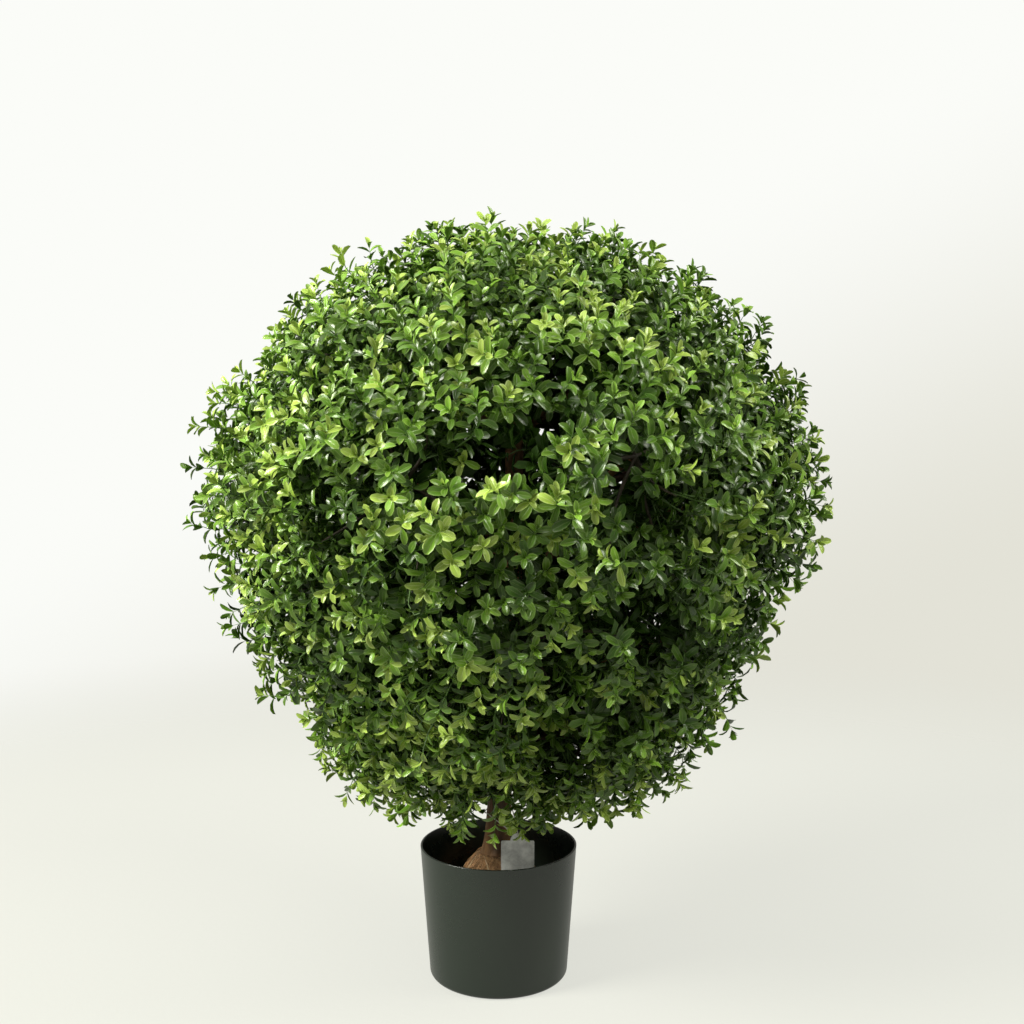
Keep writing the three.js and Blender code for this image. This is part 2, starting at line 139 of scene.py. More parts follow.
class TOPIARY_PG_crown(bpy.types.PropertyGroup):
    """Outline of the crown, and how it is filled with twigs and leaves."""

    centre: place_property("Centre", "Centre of the crown", (0.015, 0.0, 0.620))
    radius: length_property("Radius", "Radius at the widest level", 0.388)
    rise: length_property("Rise", "Height above the widest level", 0.334)
    drop: length_property("Drop", "Depth below the widest level", 0.464)
    trunk_room: length_property("Trunk room", "Space kept free of twigs round the trunk", 0.058)
    outer_sprays: count_property("Outer sprays", "How many leafy sprays reach the outline", 1720)
    middle_sprays: count_property("Middle sprays", "How many sprays stand between and behind those", 1800)
    foot_sprays: count_property("Foot sprays", "How many sprays a crown as dense as its foot has", 2600)
    inner_sprays: count_property("Inner sprays", "How many sprays fill the crown behind them", 1150)
    leaf_length: length_property("Leaf length", "Length of a full-grown leaf", 0.0202)
    leaf_width: share_property("Leaf width", "Width of a leaf as a share of its length", 0.41)
    lime: colour_property("Lime leaves", "Colour of the newest leaves", 134, 162, 56)
    fresh: colour_property("Fresh leaves", "Colour of the young leaves", 96, 138, 30)
    mature: colour_property("Mature leaves", "Colour of the full-grown leaves", 66, 103, 18)
    deep: colour_property("Deep leaves", "Colour of the old leaves", 42, 73, 14)
    # Painted light: the inner leaves are paler than the deep ones, to lift the shade in the crown's heart
    inner: colour_property("Inner leaves", "Colour of the leaves inside the crown", 46, 76, 22)
    stalk: colour_property("Stalks", "Colour of the stalks that carry the leaves", 74, 104, 44)
    wire: colour_property("Wires", "Colour of the covered wires inside the crown", 52, 46, 28)


class TOPIARY_PG_tag(bpy.types.PropertyGroup):
    """Sizes and finish of the swing tag and its thread."""

    width: length_property("Width", "Width of the card", 0.041)
    body_height: length_property("Body height", "Height of the card below its tab", 0.047)
    tab_radius: length_property("Tab radius", "Radius of the round tab", 0.009)
    thickness: length_property("Thickness", "Thickness of the card", 0.0008)
    hole_radius: length_property("Hole radius", "Radius of the punched hole", 0.0017)
    place_x: offset_property("Place", "Place of the card from left to right", 0.024)
    place_y: offset_property("Depth", "Place of the card from front to back", -0.042)
    lean: angle_property("Lean", "How far the card leans back", 4)
    thread_radius: length_property("Thread radius", "Radius of the thread", 0.0007)
    thread_rise: length_property("Thread rise", "Height of the loop above the card's body", 0.024)
    card: colour_property("Card", "Colour of the card", 236, 238, 234)
    cotton: colour_property("Cotton", "Colour of the thread", 226, 224, 214)


class TOPIARY_PG_stage(bpy.types.PropertyGroup):
    """Camera, floor and light."""

    camera_place: place_property("Camera", "Place of the camera", (0.017, -1.540, 0.695))
    camera_tilt: angle_property("Camera tilt", "How far the camera looks down", 4.1)
    lens: number_property("Lens", "Focal length in millimetres", 43.73, min=1.0, unit="CAMERA")
    paper: colour_property("Paper", "Colour of the floor", 240, 241, 233)
    # Painted shade: the backdrop is darker near the floor and to the right, where less light falls on it
    high: colour_property("High backdrop", "Colour of the backdrop above", 251, 252, 248)
    low: colour_property("Low backdrop", "Colour of the backdrop near the floor", 227, 226, 215)
    floor_radius: length_property("Floor radius", "Radius of the floor", 4.0)
    fade_radius: length_property("Fade radius", "Where the floor starts to fade into the backdrop", 1.0)
    key_power: power_property("Key", "Power of the main light", 150.0)
    top_power: power_property("Top", "Power of the light above", 16.0)
    fill_power: power_property("Fill", "Power of the weak light", 60.0)
    warmth: colour_property("Warmth", "Colour of the lights", 255, 253, 243)
    sky: share_property("Sky", "Strength of the even light all round", 0.54)
    gloss: share_property("Gloss", "Strength of the room as the plastic mirrors it", 0.34)
    floor_glow: share_property("Floor glow", "How bright the floor looks without any light on it", 0.695)
    floor_share: share_property("Floor share", "How much of the light on it the floor gives back", 0.16)


# Points and meshes
def seeded_draws(seed):
    """Draws between 0 and 1, by the generator that the source of the solids has."""
    state = seed

    def draw():
        nonlocal state
        state = (state * 1664525 + 1013904223) % 2**32
        return state / 2**32

    return draw


def unit(vectors):
    return vectors / np.linalg.norm(vectors, axis=-1, keepdims=True)


def mix(low, high, share):
    return low + (high - low) * share


def new_object(name, data):
    made = bpy.data.objects.new(name, data)
    bpy.context.scene.collection.objects.link(made)
    return made


def mesh_object(name, vertices, faces, places=None):
    """A smooth mesh from points and triangles or quads, with each point's place on its leaf."""
    mesh = bpy.data.meshes.new(name)
    points = np.asarray(vertices, np.float32)
    corners = np.asarray(faces, np.int32)
    mesh.vertices.add(len(points))
    mesh.vertices.foreach_set("co", points.ravel())
    mesh.loops.add(corners.size)
    mesh.loops.foreach_set("vertex_index", corners.ravel())
    mesh.polygons.add(len(corners))
    mesh.polygons.foreach_set("loop_start", np.arange(0, corners.size, corners.shape[1], dtype=np.int32))
    mesh.update(calc_edges=True)
    mesh.validate()
    mesh.polygons.foreach_set("use_smooth", np.ones(len(mesh.polygons), bool))
    if places is not None:
        layer = mesh.uv_layers.new(name="OFBake")
        layer.data.foreach_set("uv", np.asarray(places, np.float32)[corners.ravel()].ravel())
    return new_object(name, mesh)


def finish_piece(piece, material, nodes=()):
    """Gives a piece its material, rides it on the plant and hides the solids that it stands for."""
    piece.data.materials.clear()
    piece.data.materials.append(material)
    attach(piece, "root")
    if nodes:
        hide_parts(*nodes)


def nodes_named(start):
    return sorted(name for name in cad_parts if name.startswith(start))


def join(batches):
    """Joins batches of points, faces and, where they have them, places into one of each."""
    points, faces, *places = zip(*batches)
    starts = np.cumsum([0] + [len(found) for found in points[:-1]])
    faces = [made + start for made, start in zip(faces, starts)]
    return [np.concatenate(made) for made in (points, faces, *places)]


def ring_angles(sides):
    return np.arange(sides) * 2 * math.pi / sides


def band_faces(rings, sides):
    """Quads between rings of points that follow one another."""
    start = np.arange(rings - 1)[:, None] * sides
    ring = np.arange(sides)
    after = (ring + 1) % sides
    corners = [start + ring, start + after, start + sides + after, start + sides + ring]
    return np.stack(corners, -1).reshape(-1, 4)


def turned(profile, sides):
    """Points and faces of a profile of (radius, height) turned about the vertical axis."""
    angles = ring_angles(sides)
    radius, height = np.array(profile).T[..., None]
    rings = [radius * np.cos(angles), radius * np.sin(angles), np.repeat(height, sides, 1)]
    return np.stack(rings, -1).reshape(-1, 3), band_faces(len(profile), sides)


def square_to(paths):
    """Two directions square to many paths and to each other, at each point of them."""
    along = np.empty_like(paths)
    along[:, 1:-1] = paths[:, 2:] - paths[:, :-2]
    along[:, 0] = paths[:, 1] - paths[:, 0]
    along[:, -1] = paths[:, -1] - paths[:, -2]
    along = unit(along)
    steep = np.abs(along[:, :1, 2:]) > 0.9
    reference = np.where(steep, [[[1.0, 0.0, 0.0]]], [[[0.0, 0.0, 1.0]]])
    side = unit(reference - along * np.sum(reference * along, -1, keepdims=True))
    return side, np.cross(along, side)


def skin_paths(paths, radii, sides):
    """Points and faces of round skins over many paths with the same number of points."""
    count, steps = paths.shape[:2]
    side, other = square_to(paths)
    angles = ring_angles(sides)
    rings = paths[:, :, None] + radii[..., None, None] * (
        np.cos(angles)[:, None] * side[:, :, None] + np.sin(angles)[:, None] * other[:, :, None]
    )
    offsets = np.arange(count) * steps * sides
    faces = band_faces(steps, sides) + offsets[:, None, None]
    return rings.reshape(-1, 3), faces.reshape(-1, 4)


def curve_points(start, middle, end, shares):
    """Points of curves with one control point each, at shares of their length."""
    share = shares[..., None]
    return (1 - share) ** 2 * start + 2 * share * (1 - share) * middle + share**2 * end


def curve_along(start, middle, end, shares):
    share = shares[..., None]
    return unit((1 - share) * (middle - start) + share * (end - middle))


def arc(x, y, radius, first, last, steps):
    """Points on an arc about a centre, from one angle in degrees to another."""
    angles = [math.radians(mix(first, last, step / steps)) for step in range(steps + 1)]
    return [(x + radius * math.cos(angle), y + radius * math.sin(angle)) for angle in angles]


# The crown's outline, the masses in it and their limbs, by the rule of the solids.
# A tier has its name, count, elevation, first azimuth and how steeply its boughs rise.
TIERS = (
    ("crest", 1, 90, 0, 0.0),
    ("upper", 5, 46, -44, 0.62),
    ("middle", 7, 5, -64, 0.36),
    ("lower", 6, -33, -88, 0.3),
    ("foot", 4, -63, -45, 0.26),
)
TIER_SCATTER = 7
MASS_SEED = 20117
LEAST_FULLNESS = 0.98
HEART_SHARE = 0.755
BOUGH_STAGGER = 0.015
BOUGH_SAG = 0.12
SOURCE_TWIGS = 146
TWIG_SEED = 4211
TWIG_PULL = 0.1
TWIG_KNEE_PULL = 0.35
TWIG_SCATTER = 0.1
SOURCE_LEAF_RISE = 0.0468
REACH_HALVINGS = 30
SKIN_SLICES = 240

Mass = namedtuple("Mass", "line fullness heart lone index rise")

# Powers of the outline sideways and upright, above and below its widest level
UPPER_POWERS = (2, 1.8)
LOWER_POWERS = (2.2, 1.35)


class Crown:
    """The crown's space, its masses and the twigs that the solids have."""

    def __init__(self, scene):
        self.settings = scene.topiary_crown
        self.trunk = scene.topiary_trunk
        self.fill_top = scene.topiary_pot.fill_top
        self.centre = np.array(self.settings.centre)
        self.eye = np.array(scene.topiary_stage.camera_place) - self.centre
        self.masses = self.plan_masses()
        self.mass_lines = np.array([mass.line for mass in self.masses])
        self.plan_twigs()

    def level(self, offsets):
        """0 at the centre, 1 on the outline and more outside."""
        side = np.hypot(offsets[..., 0], offsets[..., 1]) / self.settings.radius
        up = np.clip(offsets[..., 2], 0, None) / self.settings.rise
        down = np.clip(-offsets[..., 2], 0, None) / self.settings.drop
        above = side ** UPPER_POWERS[0] + up ** UPPER_POWERS[1]
        below = side ** LOWER_POWERS[0] + down ** LOWER_POWERS[1]
        return np.where(offsets[..., 2] >= 0, above, below)

    def reach(self, lines):
        """How far the outline lies from the centre along each line."""
        inside = np.zeros(lines.shape[:-1])
        outside = np.full(lines.shape[:-1], 2 * self.settings.radius)
        for _ in range(REACH_HALVINGS):
            middle = (inside + outside) / 2
            fits = self.level(lines * middle[..., None]) < 1
            inside = np.where(fits, middle, inside)
            outside = np.where(fits, outside, middle)
        return inside

    def line(self, elevation, azimuth):
        level = math.cos(elevation)
        return np.array([level * math.cos(azimuth), level * math.sin(azimuth), math.sin(elevation)])

    def even_lines(self, count, draw, scatter):
        """Directions spread evenly over the crown's skin, each turned on by the golden angle."""
        elevations = math.pi / 2 - math.pi * np.arange(SKIN_SLICES + 1) / SKIN_SLICES
        lines = np.stack([np.cos(elevations), np.zeros(SKIN_SLICES + 1), np.sin(elevations)], -1)
        skin = lines * self.reach(lines)[:, None]
        across = np.abs(skin[1:, 0]) + np.abs(skin[:-1, 0])
        areas = np.concatenate([[0], np.cumsum(across * np.linalg.norm(skin[1:] - skin[:-1], axis=1))])
        targets = (np.arange(count) + 0.5) / count * areas[-1]
        found = np.interp(targets, areas, elevations)
        made = []
        for index in range(count):
            nudge = scatter * (draw() - 0.5)
            turn = scatter * (draw() - 0.5)
            made.append(self.line(found[index] + nudge, index * GOLDEN_ANGLE + turn))
        return np.array(made)

    def trunk_axis(self, height):
        foot = self.fill_top
        share = np.clip((height - foot) / (self.trunk.top - foot), 0, 1)
        bow = self.trunk.bow * np.sin(math.pi * share)
        x = mix(self.trunk.foot_x, self.trunk.top_x, share) + bow
        return np.stack([x, bow / 2, height + 0 * bow], -1)

    def trunk_radius(self, height):
        above = height - self.fill_top
        share = above / (self.trunk.top - self.fill_top)
        flare = self.trunk.flare * np.exp(-above / self.trunk.flare_height)
        return mix(self.trunk.foot_radius, self.trunk.tip_radius, share) + flare

    def off_trunk(self, offsets):
        """How far points lie from the trunk's axis."""
        points = offsets + self.centre
        axis = self.trunk_axis(points[..., 2])
        aside = np.hypot(points[..., 0] - axis[..., 0], points[..., 1] - axis[..., 1])
        return np.maximum(aside, points[..., 2] - self.trunk.top)

    def plan_masses(self):
        draw = seeded_draws(MASS_SEED)
        masses = []
        for _, count, elevation, turn, rise in TIERS:
            for index in range(count):
                lone = count == 1
                lift = 0 if lone else TIER_SCATTER * (draw() - 0.5)
                swing = 0 if lone else TIER_SCATTER * (draw() - 0.5)
                azimuth = math.radians(turn + 360 * index / count + swing)
                line = self.line(math.radians(elevation + lift), azimuth)
                fullness = 1 if lone else mix(LEAST_FULLNESS, 1, draw())
                heart = line * HEART_SHARE * self.reach(line) * fullness
                masses.append(Mass(line, fullness, heart, lone, index, rise))
        return masses

    def limb(self, mass):
        """Start, middle and end of the limb from the trunk's axis to the heart of a mass."""
        end = mass.heart + self.centre
        if mass.lone:
            start = self.trunk_axis(np.array(self.trunk.top))
            return start, (start + end) / 2, end
        run = math.hypot(mass.heart[0], mass.heart[1])
        stagger = BOUGH_STAGGER * (mass.index % 2 - 0.5)
        height = min(end[2] - mass.rise * run, self.trunk.top - 2 * self.trunk.bough_radius) - stagger
        start = self.trunk_axis(np.array(height))
        middle = (start + end) / 2
        middle[2] -= BOUGH_SAG * mass.rise * run
        return start, middle, end

    def plan_twigs(self):
        """Heart, knee and tip of each twig that the solids have, with its aim."""
        spots = self.even_lines(SOURCE_TWIGS, seeded_draws(TWIG_SEED), TWIG_SCATTER)
        owners = np.argmax(spots @ self.mass_lines.T, 1)
        aims, paths = [], []
        for spot, owner in zip(spots, owners):
            mass = self.masses[owner]
            aim = unit(spot + TWIG_PULL * mass.line)
            tip = aim * (self.reach(aim) * mass.fullness - SOURCE_LEAF_RISE)
            knee_aim = unit(aim + TWIG_KNEE_PULL * mass.line)
            knee = knee_aim * self.reach(knee_aim) * HEART_SHARE * mass.fullness
            if min(self.off_trunk(knee), self.off_trunk(tip)) < self.settings.trunk_room:
                continue
            aims.append(aim)
            paths.append([mass.heart, knee, tip])
        self.twig_aims = np.array(aims)
        self.twig_paths = np.array(paths)

    def degrees_from(self, aims, azimuth, elevation):
        line = self.line(math.radians(elevation), math.radians(azimuth))
        return np.degrees(np.arccos(np.clip(aims @ line, -1, 1)))


# Hollows between the sprays: azimuth, elevation and radius in degrees, seen from the crown's centre
HOLLOWS = (
    (-89, 11, 4.4),
    (-96, 10, 3.8),
    (-102, 9, 3.1),
    (-108, 8, 2.7),
    (-75, 25, 5.2),
    (-83, 16, 3.6),
    (-70, 7, 4.0),
    (-66, 1, 4.6),
    (-60, -3, 4.0),
    (-125, -3, 3.2),
    (-111, -12, 3.4),
    (-81, -31, 3.8),
    (-90, -22, 3.4),
    (-98, -30, 3.4),
    (-74, -48, 3.2),
    (-101, -66, 2.2),
    (-102, -72, 3.0),
    (-102, -78, 3.5),
    (-90, 6, 3.6),
    (-96, 4, 3.2),
    (-68, -5, 3.6),
)

# Gaps through the whole crown as seen from the front: place from left to right, height, radius
GLIMPSES = (
    (0.081, 0.274, 0.034),
    (-0.166, 0.627, 0.015),
    (0.196, 0.438, 0.025),
    (-0.178, 0.567, 0.012),
    (-0.096, 0.632, 0.009),
    (0.052, 0.686, 0.012),
)

# Tufts that stand proud of the outline: azimuth, elevation, radius in degrees, rise as a share of the reach
TUFTS = (
    (-77, 9, 7, 0.035),
    (-84, -9, 6, 0.040),
    (-79, -3, 5, 0.035),
    (-127, 34, 14, 0.030),
    (-137, 16, 12, 0.030),
    (-102, -23, 5, 0.035),
    (-99, -3, 5, 0.030),
    (-58, 12, 6, 0.030),
    (2, 20, 9, 0.060),
    (1, -7, 5, 0.060),
    (180, 3, 6, 0.030),
    (179, -20, 6, 0.030),
)

# A layer of sprays: the setting with its count, its seed, least and greatest depth as shares of the reach,
# upward pull, wander, leaf size, how open its hollows are, how high it goes and how young its leaves are,
# which for a deeper layer also darkens its leaves as painted shade
Layer = namedtuple(
    "Layer", "count seed low high lift wander size openness top youth", defaults=[1.0, 1.0, 0.0]
)
LAYERS = (
    Layer("outer_sprays", 7001, 0.935, 1.045, 0.75, 0.45, 1.0, youth=0.05),
    # Painted shade: the middle layer's leaves are dealt older, darker colours, partly their own age and
    # partly shade behind the outer sprays
    Layer("middle_sprays", 7013, 0.82, 0.955, 0.5, 0.5, 1.0, youth=-0.3),
    Layer("foot_sprays", 7057, 0.88, 1.0, 0.3, 0.5, 1.0, top=-0.74, youth=0.1),
    Layer("inner_sprays", 7031, 0.68, 0.80, 0.1, 0.5, 1.35, openness=0.75),
)
DEPTH_POWER = 1.6
STRAY_SHARE = 0.13
STRAY_RISE = 0.055
TIP_ROOM_SHARE = 0.6
LEAF_ROOM = 0.03

# A spray's start moves back along its twig the further apart they aim, in steps of FAR_ANGLE
FAR_ANGLE = 0.2
MOST_APART = 1.4
START_NEAR = 1.62
START_SCATTER = 0.25
START_RANGE = (0.35, 1.8)

# Dips in the crown's skin, the furthest that a spray reaches in front and at the sides,
# the room for its tip leaves, and how its own direction is flattened
SWELL_RATE = 4.2
SWELL_DEPTH = 0.12
APART_DEPTH = 0.08
APART_POWER = 1.5
FRONT_LIMIT = 1.025
SIDE_LIMIT = 0.02
TIP_LEAF_RISE = 0.013
FLATTENING = (1, 1, 0.9)

# The lowest leaves hang to this height at the pot's axis and higher further out, most on the left
HANG_HEIGHT = 0.180
HANG_SLOPE = 0.20
LEFT_HANG_START = -0.05
LEFT_HANG_SLOPE = 0.11


def clear_of_hollows(crown, aims, layer):
    """Which sprays stay out of the hollows, whose edges are ragged by draws of their own."""
    rng = np.random.default_rng(layer.seed + 1)
    keeps = np.ones(len(aims), bool)
    for azimuth, elevation, radius in HOLLOWS:
        ragged = radius * layer.openness * (0.85 + 0.3 * rng.random(len(aims)))
        keeps &= crown.degrees_from(aims, azimuth, elevation) > ragged
    return keeps


def clear_of_glimpses(crown, points):
    keeps = np.ones(len(points), bool)
    for across, height, radius in GLIMPSES:
        line = unit(np.array([across, 0.0, height]) - crown.centre - crown.eye)
        keeps &= np.linalg.norm(np.cross(points - crown.eye, line), axis=1) > radius
    return keeps


def tuft_rise(crown, aims):
    rise = np.zeros(len(aims))
    for azimuth, elevation, radius, height in TUFTS:
        angle = crown.degrees_from(aims, azimuth, elevation)
        rise += height * np.clip(1 - (angle / radius) ** 2, 0, 1)
    return rise


def spray_curves(crown, layer, aims, depths, rng):
    """Start, middle and tip of a spray for each aim, grown from the twig that is nearest to it."""
    near = aims @ crown.twig_aims.T
    parent = np.argmax(near, 1)
    spread = np.arccos(np.clip(near[np.arange(len(aims)), parent], -1, 1))
    apart = np.clip(spread / FAR_ANGLE, 0, MOST_APART)
    path = crown.twig_paths[parent]
    place = np.clip(START_NEAR - apart + START_SCATTER * (rng.random(len(aims)) - 0.5), *START_RANGE)
    first = path[:, 0] + (path[:, 1] - path[:, 0]) * np.clip(place, 0, 1)[:, None]
    start = first + (path[:, 2] - path[:, 1]) * np.clip(place - 1, 0, 1)[:, None]
    swell = np.array([noise.noise(Vector(aim) * SWELL_RATE) for aim in aims])
    share = depths - APART_DEPTH * apart**APART_POWER + SWELL_DEPTH * np.minimum(swell, 0)
    share = np.minimum(share, FRONT_LIMIT + SIDE_LIMIT * np.abs(aims[:, 0]))
    tip = aims * (crown.reach(aims) * share - TIP_LEAF_RISE)[:, None]
    out = unit(aims * FLATTENING)
    stray = rng.normal(0, layer.wander, aims.shape)
    upward = np.clip(0.5 + aims[:, 2:3], 0, 1) * [[0, 0, layer.lift]]
    heading = unit(out + stray + upward)
    length = np.linalg.norm(tip - start, axis=1)
    middle = tip - heading * (0.5 * length)[:, None]
    return start, middle, tip


def plan_sprays(crown, layer, rng):
    """Aims and stalk curves of a layer's sprays, and which of them show in no hollow or gap."""
    count = getattr(crown.settings, layer.count)
    aims = crown.even_lines(count, seeded_draws(layer.seed), TWIG_SCATTER / 2)
    aims = aims[aims[:, 2] <= layer.top]
    shown = clear_of_hollows(crown, aims, layer)
    depths = mix(layer.low, layer.high, 1 - rng.random(len(aims)) ** DEPTH_POWER)
    strays = rng.random(len(aims)) < STRAY_SHARE
    depths = depths + STRAY_RISE * strays * np.hypot(aims[:, 0], aims[:, 1]) + tuft_rise(crown, aims)
    start, middle, tip = spray_curves(crown, layer, aims, depths, rng)
    shown &= clear_of_glimpses(crown, tip) & clear_of_glimpses(crown, mix(middle, tip, 0.5))
    clear = crown.off_trunk(tip) > crown.settings.trunk_room * TIP_ROOM_SHARE
    return [value[clear] for value in (aims, start, middle, tip, shown)]


# Pairs of leaves down a spray: distance from its tip, size, splay in degrees
PAIRS = (
    (0.0000, 0.44, 14),
    (0.0015, 0.74, 30),
    (0.0065, 0.88, 42),
    (0.0155, 0.98, 50),
    (0.0260, 1.03, 55),
    (0.0375, 1.03, 59),
    (0.0500, 1.00, 62),
    (0.0635, 1.00, 66),
    (0.0780, 1.04, 70),
)
DETAILED_PAIRS = slice(1, 5)
TOP_PAIRS = 4
PAIR_TWIST = 0.12

# Scatter of the leaves: turn, splay and roll in radians, then least and greatest shares and angles
TURN_SCATTER = 0.16
SPLAY_SCATTER = 0.13
ROLL_SCATTER = 0.22
SIZE_RANGE = (0.9, 1.1)
WIDTH_RANGE = (0.88, 1.12)
BEND_RANGE = (0.35, 1.4)
BEND_GROWTH = (0.6, 1.1)
FOLD_RANGE = (0.25, 0.75)
BARE_SHARE = 0.94
LEAF_KEYS = ("roots", "along", "up", "lengths", "widths", "bends", "folds")


def grow_sprays(crown, layer):
    """Leaf roots, directions and sizes of all sprays of a layer, and the curves of their stalks."""
    settings = crown.settings
    rng = np.random.default_rng(layer.seed)
    aims, start, middle, tip, shown = plan_sprays(crown, layer, rng)
    length = np.linalg.norm(tip - start, axis=1)[:, None]
    total, pairs = len(aims), len(PAIRS)
    back, sizes, splays = np.array(PAIRS).T
    shares = np.clip(1 - back / length, 0.02, 1)
    roots = curve_points(start[:, None], middle[:, None], tip[:, None], shares)
    axis = curve_along(start[:, None], middle[:, None], tip[:, None], shares)
    side = unit(np.cross(axis, unit(rng.normal(size=(total, 1, 3)))))
    other = np.cross(axis, side)
    turn = rng.random((total, 1)) * math.pi + np.arange(pairs) * (math.pi / 2 + PAIR_TWIST)
    turn = turn + rng.normal(0, TURN_SCATTER, turn.shape)
    out = np.cos(turn)[..., None] * side + np.sin(turn)[..., None] * other
    out = np.stack([out, -out], 2)
    axis = np.repeat(axis[:, :, None], 2, 2)
    shape = out.shape[:3]
    splay = np.radians(splays)[None, :, None] + rng.normal(0, SPLAY_SCATTER, shape)
    along = axis * np.cos(splay)[..., None] + out * np.sin(splay)[..., None]
    up = axis * np.sin(splay)[..., None] - out * np.cos(splay)[..., None]
    roll = rng.normal(0, ROLL_SCATTER, shape)[..., None]
    up = unit(up * np.cos(roll) + np.cross(along, up) * np.sin(roll))
    vigour = mix(*SIZE_RANGE, rng.random((total, 1, 1)))
    lengths = settings.leaf_length * layer.size * sizes[None, :, None] * vigour
    lengths = lengths * mix(*SIZE_RANGE, rng.random(shape))
    widths = lengths * settings.leaf_width * mix(*WIDTH_RANGE, rng.random(shape))
    bends = mix(*BEND_RANGE, rng.random(shape)) * np.linspace(*BEND_GROWTH, pairs)[None, :, None]
    folds = mix(*FOLD_RANGE, rng.random(shape))
    roots = np.repeat(roots[:, :, None], 2, 2)
    kept = (back < length * BARE_SHARE)[..., None] & np.ones(shape, bool)
    kept &= crown.off_trunk(roots + along * lengths[..., None] * 0.6) > LEAF_ROOM
    ends = roots + along * lengths[..., None] + crown.centre
    hang = HANG_HEIGHT + HANG_SLOPE * np.hypot(ends[..., 0], ends[..., 1])
    kept &= ends[..., 2] > hang + LEFT_HANG_SLOPE * np.clip(LEFT_HANG_START - ends[..., 0], 0, None)
    whole = kept[:, :TOP_PAIRS].all((1, 2)) & shown
    grown = {
        "roots": roots + crown.centre,
        "along": along,
        "up": up,
        "lengths": lengths,
        "widths": widths,
        "bends": bends,
        "folds": folds,
        "kept": kept,
        "aims": aims,
        "rise": tuft_rise(crown, aims),
        "start": start + crown.centre,
        "middle": middle + crown.centre,
        "tip": tip + crown.centre,
    }
    return {key: value[whole] for key, value in grown.items()} | {"rng": rng}


# Places along a blade and its width there, as shares, for leaves of 16 and of 8 triangles
FULL_STATIONS = ((0.15, 0.46), (0.40, 0.92), (0.68, 1.00), (0.90, 0.60))
PLAIN_STATIONS = ((0.28, 0.78), (0.74, 0.94))


def leaf_template(stations):
    """Lengthwise share, sidewise share, place on the leaf and triangles of one blade."""
    points = [(0.0, 0.0, 0.5)]
    for share, width in stations:
        points += [(share, edge * width, (edge + 1) / 2) for edge in (-1, 0, 1)]
    points.append((1.0, 0.0, 0.5))
    along, side, across = np.array(points).T
    tip = len(points) - 1
    last = tip - 3
    faces = [(0, 1, 2), (0, 2, 3)]
    for right in range(1, last, 3):
        middle, left = right + 1, right + 2
        faces += [(right, right + 3, middle + 3), (right, middle + 3, middle)]
        faces += [(middle, middle + 3, left + 3), (middle, left + 3, left)]
    faces += [(last, tip, last + 1), (last + 1, tip, last + 2)]
    return along, side, np.stack([across, along], -1), np.array(faces)


def leaf_arrays(sprays, chosen, template):
    """Points, triangles and places of the chosen leaves, which bend back along their length and fold up."""
    share, side, places, triangles = template
    roots, along, up, lengths, widths, bends, folds = (sprays[key][chosen] for key in LEAF_KEYS)
    angle = bends[:, None] * share
    run = lengths[:, None] * np.sin(angle) / bends[:, None]
    dip = -lengths[:, None] * (1 - np.cos(angle)) / bends[:, None]
    aside = widths[:, None] / 2 * side
    lift = folds[:, None] * np.abs(aside)
    run = run + lift * np.sin(angle)
    dip = dip + lift * np.cos(angle)
    sideways = np.cross(up, along)
    points = (
        roots[:, None]
        + run[..., None] * along[:, None]
        + aside[..., None] * sideways[:, None]
        + dip[..., None] * up[:, None]
    )
    count, size = points.shape[:2]
    faces = triangles + (np.arange(count) * size)[:, None, None]
    return points.reshape(-1, 3), faces.reshape(-1, 3), np.tile(places, (count, 1))


# Nodes
def feed(tree, socket, value):
    """Links an input to another socket, or sets it."""
    if isinstance(value, bpy.types.NodeSocket):
        tree.links.new(value, socket)
    else:
        socket.default_value = value


def add_node(tree, kind, options=(), **inputs):
    """A new node with its options set and its inputs fed. In a socket's name _ stands for a space."""
    node = tree.nodes.new("ShaderNode" + kind)
    for name, value in dict(options).items():
        setattr(node, name, value)
    for name, value in inputs.items():
        feed(tree, node.inputs[name.replace("_", " ")], value)
    return node


def maths(tree, operation, *values, clamp=False):
    node = add_node(tree, "Math", {"operation": operation, "use_clamp": clamp})
    for socket, value in zip(node.inputs, values):
        feed(tree, socket, value)
    return node.outputs[0]


def ramp(tree, value, low, high):
    """A soft rise from 0 at the low value to 1 at the high one."""
    options = {"interpolation_type": "SMOOTHSTEP"}
    return add_node(tree, "MapRange", options, Value=value, From_Min=low, From_Max=high).outputs["Result"]


def blend(tree, factor, first, second):
    return add_node(tree, "Mix", {"data_type": "RGBA"}, Factor=factor, A=first, B=second).outputs["Result"]


# Shader groups, each built once and placed in every material that shows its effect
NUMBER = "NodeSocketFloat"
VECTOR = "NodeSocketVector"
COLOUR = "NodeSocketColor"


def shared_group(name, inputs, outputs, wire):
    """The group of that name, which the first material that asks for it builds."""
    found = bpy.data.node_groups.get(name)
    if found:
        return found
    tree = bpy.data.node_groups.new(name, "ShaderNodeTree")
    for socket, kind, *default in inputs:
        made = tree.interface.new_socket(socket, in_out="INPUT", socket_type=kind)
        if default:
            made.default_value = default[0]
    for socket, kind in outputs:
        tree.interface.new_socket(socket, in_out="OUTPUT", socket_type=kind)
    wire(tree, tree.nodes.new("NodeGroupInput").outputs, tree.nodes.new("NodeGroupOutput").inputs)
    return tree


